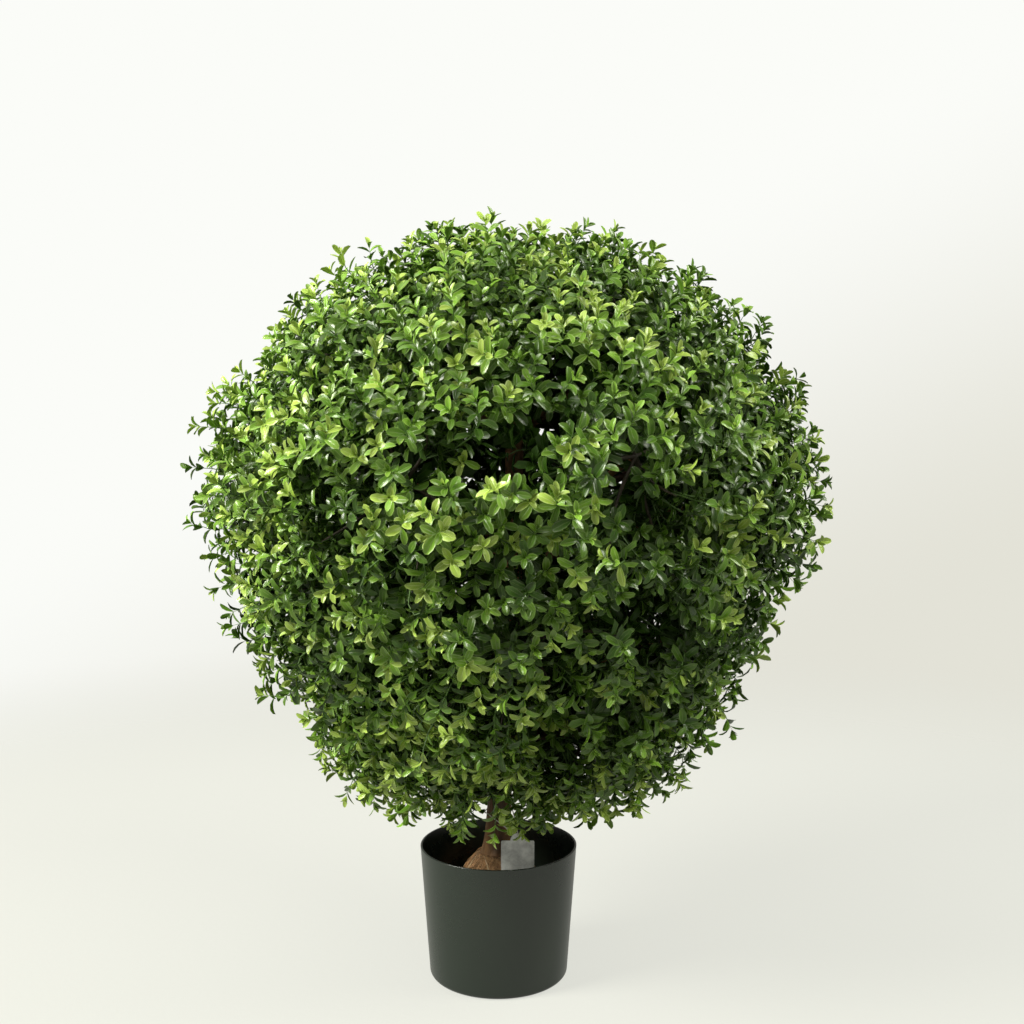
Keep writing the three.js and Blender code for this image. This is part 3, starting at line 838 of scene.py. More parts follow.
def mottle_group():
    """Blends two colours by soft blotches with finer specks in them."""
    def wire(tree, given, made):
        blotch = add_node(
            tree, "TexNoise", Vector=given["Vector"], Scale=given["Scale"], Detail=6.0, Roughness=0.62
        )
        centred = maths(tree, "SUBTRACT", blotch.outputs["Fac"], 0.5)
        gain = maths(tree, "MULTIPLY", given["Contrast"], 4.0)
        mask = maths(tree, "MULTIPLY_ADD", centred, gain, 0.5, clamp=True)
        feed(tree, made["Colour"], blend(tree, mask, given["Low Colour"], given["High Colour"]))
        feed(tree, made["Mask"], mask)

    inputs = (
        ("Vector", VECTOR),
        ("Scale", NUMBER, 40.0),
        ("Contrast", NUMBER, 0.5),
        ("Low Colour", COLOUR, (0.1, 0.1, 0.1, 1)),
        ("High Colour", COLOUR, (0.5, 0.5, 0.5, 1)),
    )
    return shared_group("Mottle", inputs, (("Colour", COLOUR), ("Mask", NUMBER)), wire)


def grain_group():
    """A fine raised grain, as a normal."""
    def wire(tree, given, made):
        grain = add_node(tree, "TexNoise", Vector=given["Vector"], Scale=given["Scale"], Detail=4.0)
        bump = add_node(tree, "Bump", Strength=1.0, Distance=given["Depth"], Height=grain.outputs["Fac"])
        feed(tree, made["Normal"], bump.outputs["Normal"])

    inputs = (("Vector", VECTOR), ("Scale", NUMBER, 900.0), ("Depth", NUMBER, 0.0001))
    return shared_group("Fine Grain", inputs, (("Normal", VECTOR),), wire)


# Markings of a leaf: where each starts and ends, as shares of the half width or of the length,
# and how strong it is
MARGIN_SPAN = (0.52, 0.98)
MARGIN_STRENGTH = 0.58
TIP_SPAN = (0.86, 1.0)
PALING_SPAN = (0.15, 1.0)
PALING_STRENGTH = 0.2
RIB_SPAN = (0.03, 0.17)
RIB_END_SPAN = (0.72, 0.98)
RIB_STRENGTH = 0.75
VEIN_SLANT = -0.16
VEIN_RATE = 62.0
VEIN_STRENGTH = 0.06
VEIN_HEIGHT = 0.12
BLADE_ROUGHNESS = 0.21
MARGIN_ROUGHNESS = 0.12
LEAF_RELIEF = 0.0004
LEAF_BUMP = 0.6
PALE_TINT = tint(198, 214, 136)
RIB_PALING = 0.8


def leaf_group():
    """Midrib, pale margin and side veins of a moulded leaf, from its own place map."""
    def wire(tree, given, made):
        place = add_node(tree, "SeparateXYZ", Vector=given["Place"]).outputs
        across = maths(tree, "ABSOLUTE", maths(tree, "MULTIPLY_ADD", place["X"], 2.0, -1.0))
        end = ramp(tree, place["Y"], *TIP_SPAN)
        margin = maths(tree, "MAXIMUM", ramp(tree, across, *MARGIN_SPAN), end)
        rib = maths(tree, "SUBTRACT", 1.0, ramp(tree, across, *RIB_SPAN))
        fading = maths(tree, "SUBTRACT", 1.0, ramp(tree, place["Y"], *RIB_END_SPAN))
        rib = maths(tree, "MULTIPLY", rib, fading)
        slant = maths(tree, "MULTIPLY_ADD", across, VEIN_SLANT, place["Y"])
        veins = maths(tree, "SINE", maths(tree, "MULTIPLY", slant, VEIN_RATE))
        faint = maths(tree, "MULTIPLY_ADD", veins, VEIN_STRENGTH, VEIN_STRENGTH)
        paling = maths(tree, "MULTIPLY", ramp(tree, place["Y"], *PALING_SPAN), PALING_STRENGTH)
        pale = maths(tree, "MAXIMUM", paling, maths(tree, "MULTIPLY", margin, MARGIN_STRENGTH))
        colour = blend(tree, pale, given["Blade"], given["Margin"])
        colour = blend(tree, faint, colour, given["Margin"])
        colour = blend(tree, maths(tree, "MULTIPLY", rib, RIB_STRENGTH), colour, given["Rib"])
        feed(tree, made["Colour"], colour)
        feed(tree, made["Roughness"], maths(tree, "MULTIPLY_ADD", margin, MARGIN_ROUGHNESS, BLADE_ROUGHNESS))
        relief = maths(tree, "MULTIPLY_ADD", rib, -1.0, maths(tree, "MULTIPLY", veins, VEIN_HEIGHT))
        feed(tree, made["Height"], relief)

    inputs = (
        ("Place", VECTOR),
        ("Blade", COLOUR, (0.1, 0.3, 0.1, 1)),
        ("Margin", COLOUR, (0.3, 0.5, 0.1, 1)),
        ("Rib", COLOUR, (0.3, 0.5, 0.1, 1)),
    )
    outputs = (("Colour", COLOUR), ("Roughness", NUMBER), ("Height", NUMBER))
    return shared_group("Leaf Markings", inputs, outputs, wire)


# Materials. A finish has the shades of its low and high spots, the scale and contrast of its blotches,
# least and greatest roughness, scale and depth of its grain, and how far the pattern is drawn out.
Finish = namedtuple("Finish", "shades scale contrast roughness grain depth stretch", defaults=[(1, 1, 1)])
BARK_STRETCH = (1, 1, 0.22)
POT_SHEEN = 0.7
PAPER_SHEEN = 0.1
FINISHES = {
    "Pot plastic": Finish((0.9, 1.12), 9.0, 0.35, (0.24, 0.33), 1400.0, 0.00004),
    "Coir": Finish((0.32, 1.15), 150.0, 0.9, (0.85, 1.0), 800.0, 0.0012),
    "Coir fibre": Finish((0.6, 1.7), 90.0, 0.8, (0.7, 0.95), 3000.0, 0.0002),
    "Pale strand": Finish((0.7, 1.1), 200.0, 0.7, (0.6, 0.85), 1500.0, 0.0003),
    "Trunk bark": Finish((1, 1), 26.0, 0.8, (0.62, 0.9), 420.0, 0.0012, BARK_STRETCH),
    "Bough bark": Finish((1, 0.75), 26.0, 0.8, (0.62, 0.9), 420.0, 0.0012, BARK_STRETCH),
    "Covered wire": Finish((0.6, 1.3), 60.0, 0.6, (0.5, 0.75), 700.0, 0.0004),
    "Stalk plastic": Finish((0.7, 1.25), 30.0, 0.7, (0.45, 0.6), 900.0, 0.0002),
    "Tag card": Finish((0.62, 1.05), 90.0, 0.8, (0.55, 0.7), 1200.0, 0.0002),
    "Cotton thread": Finish((0.8, 1.05), 400.0, 0.6, (0.8, 0.95), 2500.0, 0.0004),
    "Paper": Finish((0.985, 1), 1.2, 0.3, (0.8, 0.9), 90.0, 0.0003),
}


def surface_of(material):
    """The inputs of a material's own shader."""
    return material.node_tree.nodes["Principled BSDF"].inputs


def new_material(name):
    material = bpy.data.materials.new(name)
    material.use_nodes = True
    return material, material.node_tree, surface_of(material)


def shade(colour, factor):
    """The same colour, lighter or darker."""
    return tuple(min(1.0, value * factor) for value in colour[:3]) + (1.0,)


def toward(colour, other, share):
    return tuple(mix(a, b, share) for a, b in zip(colour[:3], other[:3])) + (1.0,)


def mottled_material(name, colour, low_colour=None):
    """A surface with soft blotches of two colours, uneven gloss and a fine grain, by its own finish."""
    finish = FINISHES[name]
    material, tree, surface = new_material(name)
    places = add_node(tree, "TexCoord").outputs["Object"]
    places = add_node(tree, "Mapping", Vector=places, Scale=finish.stretch).outputs["Vector"]
    low = shade(low_colour or colour, finish.shades[0])
    high = shade(colour, finish.shades[1])
    mottle = add_node(
        tree, "Group", {"node_tree": mottle_group()}, Vector=places, Scale=finish.scale,
        Contrast=finish.contrast, Low_Colour=low, High_Colour=high,
    ).outputs
    least, greatest = finish.roughness
    gloss = add_node(tree, "MapRange", Value=mottle["Mask"], To_Min=least, To_Max=greatest)
    grain = add_node(
        tree, "Group", {"node_tree": grain_group()}, Vector=places, Scale=finish.grain, Depth=finish.depth
    )
    feed(tree, surface["Base Color"], mottle["Colour"])
    feed(tree, surface["Roughness"], gloss.outputs["Result"])
    feed(tree, surface["Normal"], grain.outputs["Normal"])
    return material


def leaf_material(name, colour, lift, sheen):
    """Moulded leaf plastic with a paler margin and midrib."""
    material, tree, surface = new_material(name)
    place = add_node(tree, "UVMap", {"uv_map": "OFBake"}).outputs["UV"]
    markings = add_node(
        tree, "Group", {"node_tree": leaf_group()}, Place=place, Blade=colour,
        Margin=toward(colour, PALE_TINT, lift), Rib=toward(colour, PALE_TINT, lift * RIB_PALING),
    ).outputs
    bump = add_node(tree, "Bump", Strength=LEAF_BUMP, Distance=LEAF_RELIEF, Height=markings["Height"])
    feed(tree, surface["Base Color"], markings["Colour"])
    feed(tree, surface["Roughness"], markings["Roughness"])
    feed(tree, surface["Normal"], bump.outputs["Normal"])
    surface["Specular IOR Level"].default_value = sheen
    return material


# Pieces
MOUND_POWER = 1.3


def pot_outer(pot, height):
    return mix(pot.foot_radius, pot.rim_radius, height / pot.height)


def pot_inner(pot, height):
    floor = pot_outer(pot, pot.floor) - pot.wall - pot.foot_round / 2
    return mix(floor, pot.rim_radius - pot.wall, (height - pot.floor) / (pot.height - pot.floor))


def fill_height(pot, radius):
    wall = pot_inner(pot, pot.fill_edge) - SEAT
    share = np.clip((radius - pot.fill_flat) / (wall - pot.fill_flat), 0, 1)
    return mix(pot.fill_top, pot.fill_edge, np.sin(math.pi / 2 * share) ** MOUND_POWER)


class TOPIARY_OT_pot(bpy.types.Operator):
    """Turn the plastic pot, with its rounded foot and thin plain rim"""

    bl_idname = "topiary.pot"
    bl_label = "Pot"

    def execute(self, context):
        pot = context.scene.topiary_pot
        points, faces = turned(self.profile(pot), 128)
        piece = mesh_object("pot_shell", points, faces)
        material = mottled_material("Pot plastic", pot.plastic)
        surface_of(material)["Specular IOR Level"].default_value = POT_SHEEN
        finish_piece(piece, material, ["pot"])
        return {"FINISHED"}

    def profile(self, pot):
        """Radius and height from the middle of the underside over the rim to the middle of the floor."""
        foot_steps, rim_steps, rows = 8, 4, 10
        pole = 0.0002
        edge = pot.wall * 0.35
        profile = [(pole, 0.0)]
        for step in range(foot_steps + 1):
            angle = math.pi / 2 * step / foot_steps
            height = pot.foot_round * (1 - math.cos(angle))
            inset = pot.foot_round * (1 - math.sin(angle))
            profile.append((pot_outer(pot, height) - inset, height))
        for row in range(1, rows + 1):
            height = mix(pot.foot_round, pot.height - edge, row / rows)
            profile.append((pot_outer(pot, height), height))
        inside = pot_inner(pot, pot.height)
        angles = [math.pi / 2 * step / rim_steps for step in range(rim_steps + 1)]
        for angle in angles[1:]:
            inset, down = edge * (1 - math.cos(angle)), edge * (1 - math.sin(angle))
            profile.append((pot.rim_radius - inset, pot.height - down))
        for angle in angles[:-1]:
            inset, down = edge * (1 - math.sin(angle)), edge * (1 - math.cos(angle))
            profile.append((inside + inset, pot.height - down))
        for row in range(rows + 1):
            height = mix(pot.height - edge, pot.floor, row / rows)
            profile.append((pot_inner(pot, height), height))
        return profile + [(pole, pot.floor)]


class TOPIARY_OT_fill(bpy.types.Operator):
    """Heap the fibre-covered fill in the pot and strew fibres and pale strands on it"""

    bl_idname = "topiary.fill"
    bl_label = "Fill"

    def execute(self, context):
        pot = context.scene.topiary_pot
        self.heap(pot)
        self.strew(pot)
        self.lay_strands(pot)
        return {"FINISHED"}

    def heap(self, pot):
        rows, sides, pole, crowding = 44, 120, 0.0004, 0.9
        roughness, rough_rate, smooth_edge, edge_depth = 0.0016, 160, 0.006, 0.004
        wall = pot_inner(pot, pot.fill_edge) - SEAT
        bottom = pot.floor + SEAT
        radii = wall * (np.arange(rows + 1) / rows) ** crowding
        profile = [(max(radius, pole), float(fill_height(pot, radius))) for radius in radii]
        profile += [(wall, pot.fill_edge - edge_depth), (pot_inner(pot, bottom) - SEAT, bottom)]
        points, faces = turned(profile, sides)
        for index in range((rows + 1) * sides):
            x, y, z = points[index]
            rough = noise.fractal(Vector((x, y, 0)) * rough_rate, 0.9, 2.1, 4)
            fade = min(1.0, max(0.0, (wall - math.hypot(x, y)) / smooth_edge))
            points[index, 2] = min(z + roughness * rough * fade, z + roughness)
        piece = mesh_object("coir_mound", points, faces[:, ::-1])
        finish_piece(piece, mottled_material("Coir", pot.coir), ["fill_mound"])

    def strew(self, pot):
        rng = np.random.default_rng(88)
        count = pot.fibres
        inner, band, outer = 0.022, 0.060, 0.088
        shortest, spread, bend, thickness = 0.010, 0.020, 1.1, 0.00028
        least_arch, arch_spread, clearance = 0.0012, 0.003, 0.0002
        radius = inner + band * np.sqrt(rng.random(count))
        angle = rng.random(count) * 2 * math.pi
        heading = rng.random(count) * 2 * math.pi
        curl = rng.normal(0, bend, count)
        length = shortest + spread * rng.random(count)
        shares = np.linspace(-0.5, 0.5, 5)
        turn = heading[:, None] + curl[:, None] * shares
        x = (radius * np.cos(angle))[:, None] + length[:, None] * shares * np.cos(turn)
        y = (radius * np.sin(angle))[:, None] + length[:, None] * shares * np.sin(turn)
        limit = outer / np.maximum(np.hypot(x, y), outer)
        x, y = x * limit, y * limit
        arch = (0.25 - shares**2) * 4 * (least_arch + arch_spread * rng.random((count, 1)))
        z = fill_height(pot, np.hypot(x, y)) + arch + clearance
        radii = np.full((count, 5), thickness) * [0.3, 1, 1, 1, 0.3]
        piece = mesh_object("coir_fibres", *skin_paths(np.stack([x, y, z], -1), radii, 4))
        finish_piece(piece, mottled_material("Coir fibre", pot.coir))

    def lay_strands(self, pot):
        """Pale strands between listed ends: places on the mound, and heights above it."""
        ends = (
            ((-0.060, -0.036, 0.004), (-0.026, -0.022, 0.014)),
            ((-0.018, -0.030, 0.016), (0.002, -0.072, 0.003)),
            ((-0.044, -0.050, 0.002), (-0.014, -0.046, 0.010)),
            ((0.030, 0.030, 0.010), (0.062, 0.044, 0.002)),
            ((-0.030, 0.044, 0.010), (-0.058, 0.030, 0.002)),
            ((0.010, 0.028, 0.014), (-0.004, 0.066, 0.003)),
        )
        thickness, arch = 0.0008, 0.004
        shares = np.linspace(0, 1, 9)
        paths = []
        for first, last in np.array(ends):
            line = first + (last - first) * shares[:, None]
            line[:, 2] += fill_height(pot, np.hypot(line[:, 0], line[:, 1]))
            line[:, 2] += arch * np.sin(math.pi * shares)
            paths.append(line)
        taper = np.clip(np.minimum(shares, 1 - shares) * 6, 0.2, 1)
        radii = np.tile(thickness * taper, (len(ends), 1))
        piece = mesh_object("pale_strands", *skin_paths(np.array(paths), radii, 6))
        finish_piece(piece, mottled_material("Pale strand", pot.strand))


class TOPIARY_OT_trunk(bpy.types.Operator):
    """Raise the leaning trunk, with its root flare and the furrows of its bark"""

    bl_idname = "topiary.trunk"
    bl_label = "Trunk"

    def execute(self, context):
        trunk = context.scene.topiary_trunk
        crown = Crown(context.scene)
        sides, rings, crowding = 56, 210, 1.25
        low = crown.fill_top + SEAT
        heights = mix(low, trunk.top, np.linspace(0, 1, rings) ** crowding)
        axis = crown.trunk_axis(heights)
        radius = crown.trunk_radius(heights)
        points = []
        for ring, height in enumerate(heights):
            for angle in ring_angles(sides):
                grown = radius[ring] + trunk.relief * self.furrow(angle, height, height - low)
                points.append(axis[ring] + [grown * math.cos(angle), grown * math.sin(angle), 0])
        points.extend([axis[0], axis[-1]])
        ring = np.arange(sides)
        after = (ring + 1) % sides
        top = (rings - 1) * sides
        foot = np.stack([np.full(sides, rings * sides), after, ring], -1)
        head = np.stack([np.full(sides, rings * sides + 1), top + ring, top + after], -1)
        quads = band_faces(rings, sides)
        triangles = np.concatenate([quads[:, [0, 1, 2]], quads[:, [0, 2, 3]], foot, head])
        piece = mesh_object("trunk_bark", points, triangles)
        finish_piece(piece, mottled_material("Trunk bark", trunk.bark, trunk.furrow), ["trunk"])
        return {"FINISHED"}

    def furrow(self, angle, height, above):
        """Height of the bark in units of its relief: long and fine furrows, and root lobes at the foot."""
        lobes, lobe_turn, lobe_height, lobe_fade = 5, 0.7, 0.6, 0.02
        x, y = math.cos(angle), math.sin(angle)
        long = noise.fractal(Vector((x * 2.6, y * 2.6, height * 11)), 0.8, 2.2, 5)
        fine = noise.fractal(Vector((x * 9, y * 9, height * 60)), 0.8, 2.0, 3)
        root = lobe_height * math.cos(lobes * angle + lobe_turn) * math.exp(-above / lobe_fade)
        return 1.1 * long + 0.45 * fine - 0.5 + 1.6 * root


class TOPIARY_OT_boughs(bpy.types.Operator):
    """Carry a tapering bough from the trunk into each mass of foliage"""

    bl_idname = "topiary.boughs"
    bl_label = "Boughs"

    def execute(self, context):
        trunk = context.scene.topiary_trunk
        crown = Crown(context.scene)
        collar, collar_fade, crest_radius, tip = 0.003, 14, 0.0044, 0.0004
        knots, knot_rate, knot_seed = 0.0005, 120, 22
        shares = np.linspace(0, 1, 26)
        paths = np.array([curve_points(*crown.limb(mass), shares) for mass in crown.masses])
        taper = mix(trunk.bough_radius, trunk.stem_radius, shares) + collar * np.exp(-shares * collar_fade)
        radii = np.tile(taper, (len(paths), 1))
        radii[0] = np.minimum(radii[0], crest_radius)
        radii[:, -1] = tip
        points, faces = skin_paths(paths, radii, 12)
        # Without a seed of its own noise_vector gives other knots at each run
        noise.seed_set(knot_seed)
        for index, place in enumerate(points):
            points[index] += knots * np.array(noise.noise_vector(Vector(place) * knot_rate))
        piece = mesh_object("boughs", points, faces)
        material = mottled_material("Bough bark", trunk.bark, trunk.furrow)
        finish_piece(piece, material, nodes_named("bough_"))
        return {"FINISHED"}


# Ages of the leaves: how far margin and midrib go toward the pale tint, and how much the blade mirrors
AGES = {
    "lime": (0.66, 0.42),
    "fresh": (0.42, 0.44),
    "mature": (0.21, 0.42),
    "deep": (0.11, 0.38),
    "inner": (0.05, 0.2),
}
HALVES = {"a": 1.16, "b": 0.86}

# What gives a spray paler leaf colours: a low place, a side that faces the main light (painted light), a
# patch and a tuft, and how much each counts
LOW_START = 3
LOW_SLOPE = 4.5
LOW_WEIGHT = 0.18
LIT_WEIGHT = 0.2
LIT_SIDE = (-0.75, -0.4, 0.25)
PATCH_WEIGHT = 0.3
PATCH_RATE = 3.1
TUFT_WEIGHT = 2.5
LIME_VIGOUR = 0.68
FRESH_VIGOUR = 0.34

# Age of a leaf by its spray's kind and its pair, and the ages at which the colours change
KIND_AGE = 2
PAIR_AGE = 0.75
AGE_SCATTER = 0.5
AGE_LIMITS = (1.9, 3.6, 5.8)


class TOPIARY_OT_foliage(bpy.types.Operator):
    """Grow twigs on from the boughs, and sprays of paired leaves on the twigs"""

    bl_idname = "topiary.foliage"
    bl_label = "Foliage"

    def execute(self, context):
        settings = context.scene.topiary_crown
        crown = Crown(context.scene)
        full, plain = leaf_template(FULL_STATIONS), leaf_template(PLAIN_STATIONS)
        grown = [grow_sprays(crown, layer) for layer in LAYERS]
        self.lay_twigs(crown, settings)
        self.lay_stalks(settings, grown)
        *dealt, inner = grown
        parts = {"leaves_inner": [leaf_arrays(inner, inner["kept"], plain)]}
        for sprays, layer in zip(dealt, LAYERS):
            for name, chosen in self.deal(sprays, layer.youth).items():
                detailed = np.zeros(chosen.shape, bool)
                detailed[:, DETAILED_PAIRS] = True
                batches = parts.setdefault(name, [])
                batches.append(leaf_arrays(sprays, chosen & detailed, full))
                batches.append(leaf_arrays(sprays, chosen & ~detailed, plain))
        for name, batches in parts.items():
            self.leaf_piece(settings, name, batches)
        return {"FINISHED"}

    def deal(self, sprays, youth):
        """Deals the leaves to colours by their age, young or older by spray and older further down each;
        sprays that face the main light are dealt paler colours as painted light.
        """
        rng, aims = sprays["rng"], sprays["aims"]
        shape = sprays["kept"].shape
        patch = np.array([noise.noise(Vector(aim) * PATCH_RATE + Vector((5, 5, 5))) for aim in aims])
        low = np.clip(-LOW_START - LOW_SLOPE * aims[:, 2], 0, 1)
        # Painted light: sprays that face the main light, to the left, front and above, are dealt paler
        # colours
        lit = aims @ unit(np.array(LIT_SIDE))
        vigour = rng.random(shape[0]) + youth + LOW_WEIGHT * low + LIT_WEIGHT * lit
        vigour = vigour + PATCH_WEIGHT * patch + TUFT_WEIGHT * sprays["rise"]
        kind = np.where(vigour > LIME_VIGOUR, 0, np.where(vigour > FRESH_VIGOUR, 1, 2))
        pair = np.arange(shape[1])[None, :, None]
        age = kind[:, None, None] * KIND_AGE + pair * PAIR_AGE + rng.normal(0, AGE_SCATTER, shape)
        order = np.digitize(age, AGE_LIMITS)
        light = rng.random(shape) < 0.5
        dealt = {}
        for index, name in enumerate(("lime", "fresh", "mature", "deep")):
            for half in HALVES:
                dealt[f"leaves_{name}_{half}"] = sprays["kept"] & (order == index) & (light == (half == "a"))
        return dealt

    def leaf_piece(self, settings, name, batches):
        piece = mesh_object(name, *join(batches))
        _, age, *half = name.split("_")
        factor = HALVES[half[0]] if half else 1.0
        colour = shade(getattr(settings, age), factor)
        material = leaf_material(name.replace("_", " ").capitalize(), colour, *AGES[age])
        finish_piece(piece, material, nodes_named("foliage_"))

    def lay_twigs(self, crown, settings):
        foot, end, tip = 0.0024, 0.0013, 0.0002
        shares = np.linspace(0, 1, 9)
        paths = np.array([curve_points(*path, shares) for path in crown.twig_paths + crown.centre])
        radii = np.tile(mix(foot, end, shares), (len(paths), 1))
        radii[:, -1] = tip
        piece = mesh_object("twig_wires", *skin_paths(paths, radii, 5))
        finish_piece(piece, mottled_material("Covered wire", settings.wire), nodes_named("foliage_"))

    def lay_stalks(self, settings, grown):
        foot, end, tip = 0.0011, 0.0006, 0.0001
        shares = np.linspace(0, 1, 5)
        made = []
        for sprays in grown:
            start, middle, last = (sprays[key][:, None] for key in ("start", "middle", "tip"))
            radii = np.tile(mix(foot, end, shares), (len(last), 1))
            radii[:, -1] = tip
            made.append(skin_paths(curve_points(start, middle, last, shares), radii, 3))
        piece = mesh_object("spray_stalks", *join(made))
        material = mottled_material("Stalk plastic", settings.stalk)
        finish_piece(piece, material, nodes_named("foliage_"))


class TOPIARY_OT_tag(bpy.types.Operator):
    """Hang the blank swing tag on its thread round the trunk"""

    bl_idname = "topiary.tag"
    bl_label = "Tag"

    def execute(self, context):
        scene = context.scene
        tag = scene.topiary_tag
        corner = math.hypot(tag.place_x - tag.width / 2, tag.place_y)
        foot = float(fill_height(scene.topiary_pot, corner)) + 2 * SEAT
        place = Matrix.Translation((tag.place_x, tag.place_y, foot))
        place = place @ Matrix.Rotation(math.pi / 2 - tag.lean, 4, "X")
        self.cut_card(tag, place)
        self.tie_thread(tag, place, Crown(scene))
        return {"FINISHED"}

    def outlines(self, tag):
        """Outline of the card with its round corners and tab, and of the hole in the tab."""
        radius = 0.0018
        side, top = tag.width / 2 - radius, tag.body_height - radius
        outline = arc(side, radius, radius, -90, 0, 5)
        outline += arc(side, top, radius, 0, 90, 5)
        outline += arc(0, tag.body_height, tag.tab_radius, 0, 180, 24)
        outline += arc(-side, top, radius, 90, 180, 5)
        outline += arc(-side, radius, radius, 180, 270, 5)
        hole = arc(0, tag.body_height + tag.tab_radius / 3, tag.hole_radius, 0, -360, 24)
        return outline, hole[:-1]

    def cut_card(self, tag, place):
        bevel = 0.0001
        curve = bpy.data.curves.new("card outline", "CURVE")
        curve.dimensions = "2D"
        curve.fill_mode = "BOTH"
        curve.extrude = tag.thickness / 2 - bevel
        curve.bevel_depth = bevel
        curve.offset = -bevel
        for points in self.outlines(tag):
            spline = curve.splines.new("POLY")
            spline.points.add(len(points) - 1)
            spline.use_cyclic_u = True
            for point, (x, y) in zip(spline.points, points):
                point.co = (x, y, 0, 1)
        drawn = new_object("card outline", curve)
        bpy.context.view_layer.update()
        mesh = bpy.data.meshes.new_from_object(drawn.evaluated_get(bpy.context.evaluated_depsgraph_get()))
        bpy.data.objects.remove(drawn)
        mesh.transform(Matrix.Translation((0, 0, tag.thickness / 2)))
        mesh.transform(place)
        card = new_object("tag_card", mesh)
        finish_piece(card, mottled_material("Tag card", tag.card), ["tag"])

    def tie_thread(self, tag, place, crown):
        """A closed smooth curve through the hole, over the tab and round the trunk."""
        spare = tag.thread_radius + 2 * SEAT
        hole = tag.body_height + tag.tab_radius / 3 + tag.hole_radius - tag.thread_radius - SEAT
        over = tag.body_height + tag.tab_radius + spare
        height = place.translation.z + tag.body_height + tag.thread_rise
        centre = crown.trunk_axis(np.array(height))
        slack, first, turns = 0.0012, math.radians(75), 8
        radius = float(crown.trunk_radius(height)) + spare + slack
        toward_tag = math.atan2(place.translation.y - centre[1], place.translation.x - centre[0])
        front = tag.thickness + spare
        through = ((hole, -2 * spare), (hole, front), (over, front))
        knots = [np.array(place @ Vector((0, y, z))) for y, z in through]
        for step in range(turns + 1):
            turn = toward_tag + mix(first, 2 * math.pi - first, step / turns)
            knots.append(centre + radius * np.array([math.cos(turn), math.sin(turn), 0]))
        knots = np.array(knots)
        path = []
        for index in range(len(knots)):
            a, b, c, d = (knots[(index + k) % len(knots)] for k in (-1, 0, 1, 2))
            for share in np.arange(6) / 6:
                square = (2 * a - 5 * b + 4 * c - d) * share**2
                cube = (3 * b - a - 3 * c + d) * share**3
                path.append(0.5 * (2 * b + (c - a) * share + square + cube))
        path.append(path[0])
        path = np.array(path)[None]
        radii = np.full(path.shape[:2], tag.thread_radius)
        piece = mesh_object("thread_loop", *skin_paths(path, radii, 8))
        finish_piece(piece, mottled_material("Cotton thread", tag.cotton), ["tag_thread"])


# Lights: place, width and the point that each looks at
LIGHTS = {
    "key": ((-2.25, -1.0, 1.9), 1.2, (0.0, 0.0, 0.62)),
    "top": ((-0.9, -0.5, 2.5), 1.5, (0.0, 0.0, 0.5)),
    "fill": ((1.9, -0.5, 2.1), 1.2, (0.0, 0.0, 0.55)),
}
FLOOR_ROWS = (0.001, 0.3, 0.8, 1.6)
FADE_END = 0.62
MIRRORED_GLOW = 0.5
# Painted shade on the backdrop: where it darkens toward the floor, and how much more it darkens to the right
BACKDROP_SHADE_SPAN = (-0.30, 0.10)
BACKDROP_SHADE_SLANT = -0.5


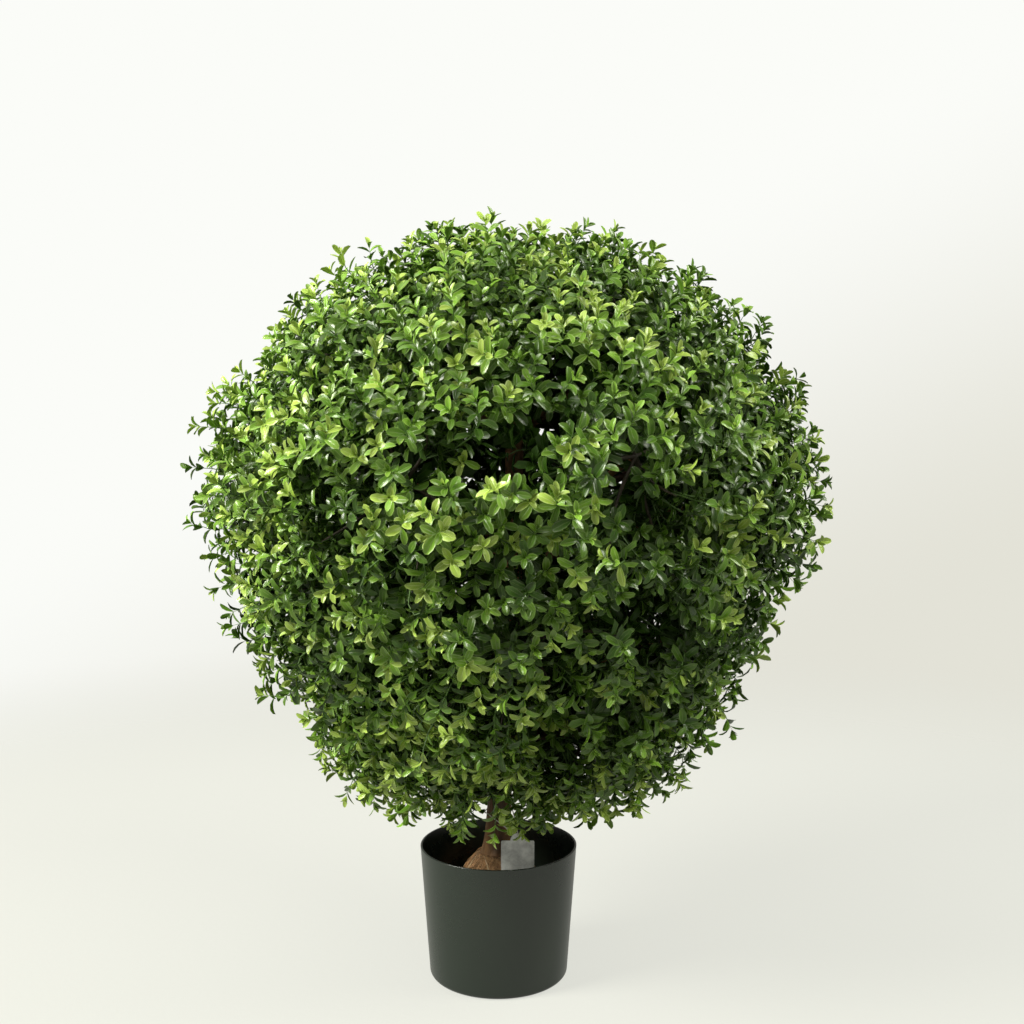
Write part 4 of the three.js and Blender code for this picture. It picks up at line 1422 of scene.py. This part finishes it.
class TOPIARY_OT_stage(bpy.types.Operator):
    """Set up the pale sweep, the soft lights and the camera"""

    bl_idname = "topiary.stage"
    bl_label = "Stage"

    def execute(self, context):
        scene = context.scene
        stage = scene.topiary_stage
        self.lay_floor(stage)
        for name, (place, size, target) in LIGHTS.items():
            self.light(stage, name, place, size, target)
        scene.world = self.backdrop(stage)
        camera = bpy.data.cameras.new("camera")
        camera.sensor_width = 36.0
        camera.lens = stage.lens
        held = new_object("camera", camera)
        held.location = stage.camera_place
        held.rotation_euler = (math.pi / 2 - stage.camera_tilt, 0, 0)
        scene.camera = held
        scene.view_settings.view_transform = "Standard"
        return {"FINISHED"}

    def lay_floor(self, stage):
        """A round floor of pale paper that fades into the backdrop towards its edge."""
        points, faces = turned([(radius, 0.0) for radius in (*FLOOR_ROWS, stage.floor_radius)], 96)
        floor = mesh_object("paper_floor", points, faces)
        material = mottled_material("Paper", shade(stage.paper, stage.floor_share))
        tree, surface = material.node_tree, surface_of(material)
        surface["Specular IOR Level"].default_value = PAPER_SHEEN
        surface["Emission Color"].default_value = stage.paper
        places = add_node(tree, "TexCoord").outputs["Object"]
        distance = add_node(tree, "VectorMath", {"operation": "LENGTH"}, Vector=places).outputs["Value"]
        outside = ramp(tree, distance, stage.fade_radius, stage.floor_radius * FADE_END)
        feed(tree, surface["Alpha"], maths(tree, "SUBTRACT", 1.0, outside))
        ray = add_node(tree, "LightPath").outputs
        seen = maths(tree, "MULTIPLY_ADD", ray["Is Glossy Ray"], MIRRORED_GLOW, ray["Is Camera Ray"])
        feed(tree, surface["Emission Strength"], maths(tree, "MULTIPLY", seen, stage.floor_glow))
        floor.data.materials.append(material)

    def backdrop(self, stage):
        """A pale room whose light on the plant is even and weaker than it looks behind it, where it is
        darker near the floor and to the right as painted shade.
        """
        world = bpy.data.worlds.new("Pale room")
        world.use_nodes = True
        tree = world.node_tree
        axes = add_node(tree, "SeparateXYZ", Vector=add_node(tree, "TexCoord").outputs["Generated"]).outputs
        backdrop_shading = maths(tree, "MULTIPLY_ADD", axes["X"], BACKDROP_SHADE_SLANT, axes["Z"])
        colour = blend(tree, ramp(tree, backdrop_shading, *BACKDROP_SHADE_SPAN), stage.low, stage.high)
        seen = add_node(tree, "Background", Color=colour)
        ray = add_node(tree, "LightPath").outputs
        lit = tree.nodes["Background"]
        lit.inputs["Color"].default_value = stage.warmth
        strength = maths(tree, "MULTIPLY_ADD", ray["Is Glossy Ray"], stage.gloss - stage.sky, stage.sky)
        feed(tree, lit.inputs["Strength"], strength)
        chosen = add_node(tree, "MixShader", Fac=ray["Is Camera Ray"])
        feed(tree, chosen.inputs[1], lit.outputs["Background"])
        feed(tree, chosen.inputs[2], seen.outputs["Background"])
        feed(tree, tree.nodes["World Output"].inputs["Surface"], chosen.outputs["Shader"])
        return world

    def light(self, stage, name, place, size, target):
        lamp = bpy.data.lights.new(name, "AREA")
        lamp.shape = "DISK"
        lamp.size = size
        lamp.energy = getattr(stage, name + "_power")
        lamp.color = stage.warmth[:3]
        held = new_object(name, lamp)
        held.location = place
        held.rotation_euler = (Vector(target) - Vector(place)).to_track_quat("-Z", "Y").to_euler()
        held.visible_camera = False


OPERATORS = (
    TOPIARY_OT_pot,
    TOPIARY_OT_fill,
    TOPIARY_OT_trunk,
    TOPIARY_OT_boughs,
    TOPIARY_OT_foliage,
    TOPIARY_OT_tag,
    TOPIARY_OT_stage,
)
SETTINGS = (
    ("topiary_pot", TOPIARY_PG_pot),
    ("topiary_trunk", TOPIARY_PG_trunk),
    ("topiary_crown", TOPIARY_PG_crown),
    ("topiary_tag", TOPIARY_PG_tag),
    ("topiary_stage", TOPIARY_PG_stage),
)


class TOPIARY_PT_sidebar(bpy.types.Panel):
    """Lists the settings and the steps that build the plant"""

    bl_idname = "TOPIARY_PT_sidebar"
    bl_label = "Box Topiary Ball"
    bl_space_type = "VIEW_3D"
    bl_region_type = "UI"
    bl_category = "Topiary"

    def draw(self, context):
        for name, group in SETTINGS:
            box = self.layout.box()
            box.label(text=name.replace("topiary_", "").capitalize())
            for setting in group.__annotations__:
                box.prop(getattr(context.scene, name), setting)
        for operator in OPERATORS:
            self.layout.operator(operator.bl_idname)


def register():
    for name, group in SETTINGS:
        bpy.utils.register_class(group)
        setattr(bpy.types.Scene, name, bpy.props.PointerProperty(type=group))
    for operator in OPERATORS:
        bpy.utils.register_class(operator)
    bpy.utils.register_class(TOPIARY_PT_sidebar)


def unregister():
    bpy.utils.unregister_class(TOPIARY_PT_sidebar)
    for operator in reversed(OPERATORS):
        bpy.utils.unregister_class(operator)
    for name, group in reversed(SETTINGS):
        delattr(bpy.types.Scene, name)
        bpy.utils.unregister_class(group)


def main():
    register()
    bpy.ops.topiary.pot()
    bpy.ops.topiary.fill()
    bpy.ops.topiary.trunk()
    bpy.ops.topiary.boughs()
    bpy.ops.topiary.foliage()
    bpy.ops.topiary.tag()
    bpy.ops.topiary.stage()


if __name__ == "__main__":
    main()
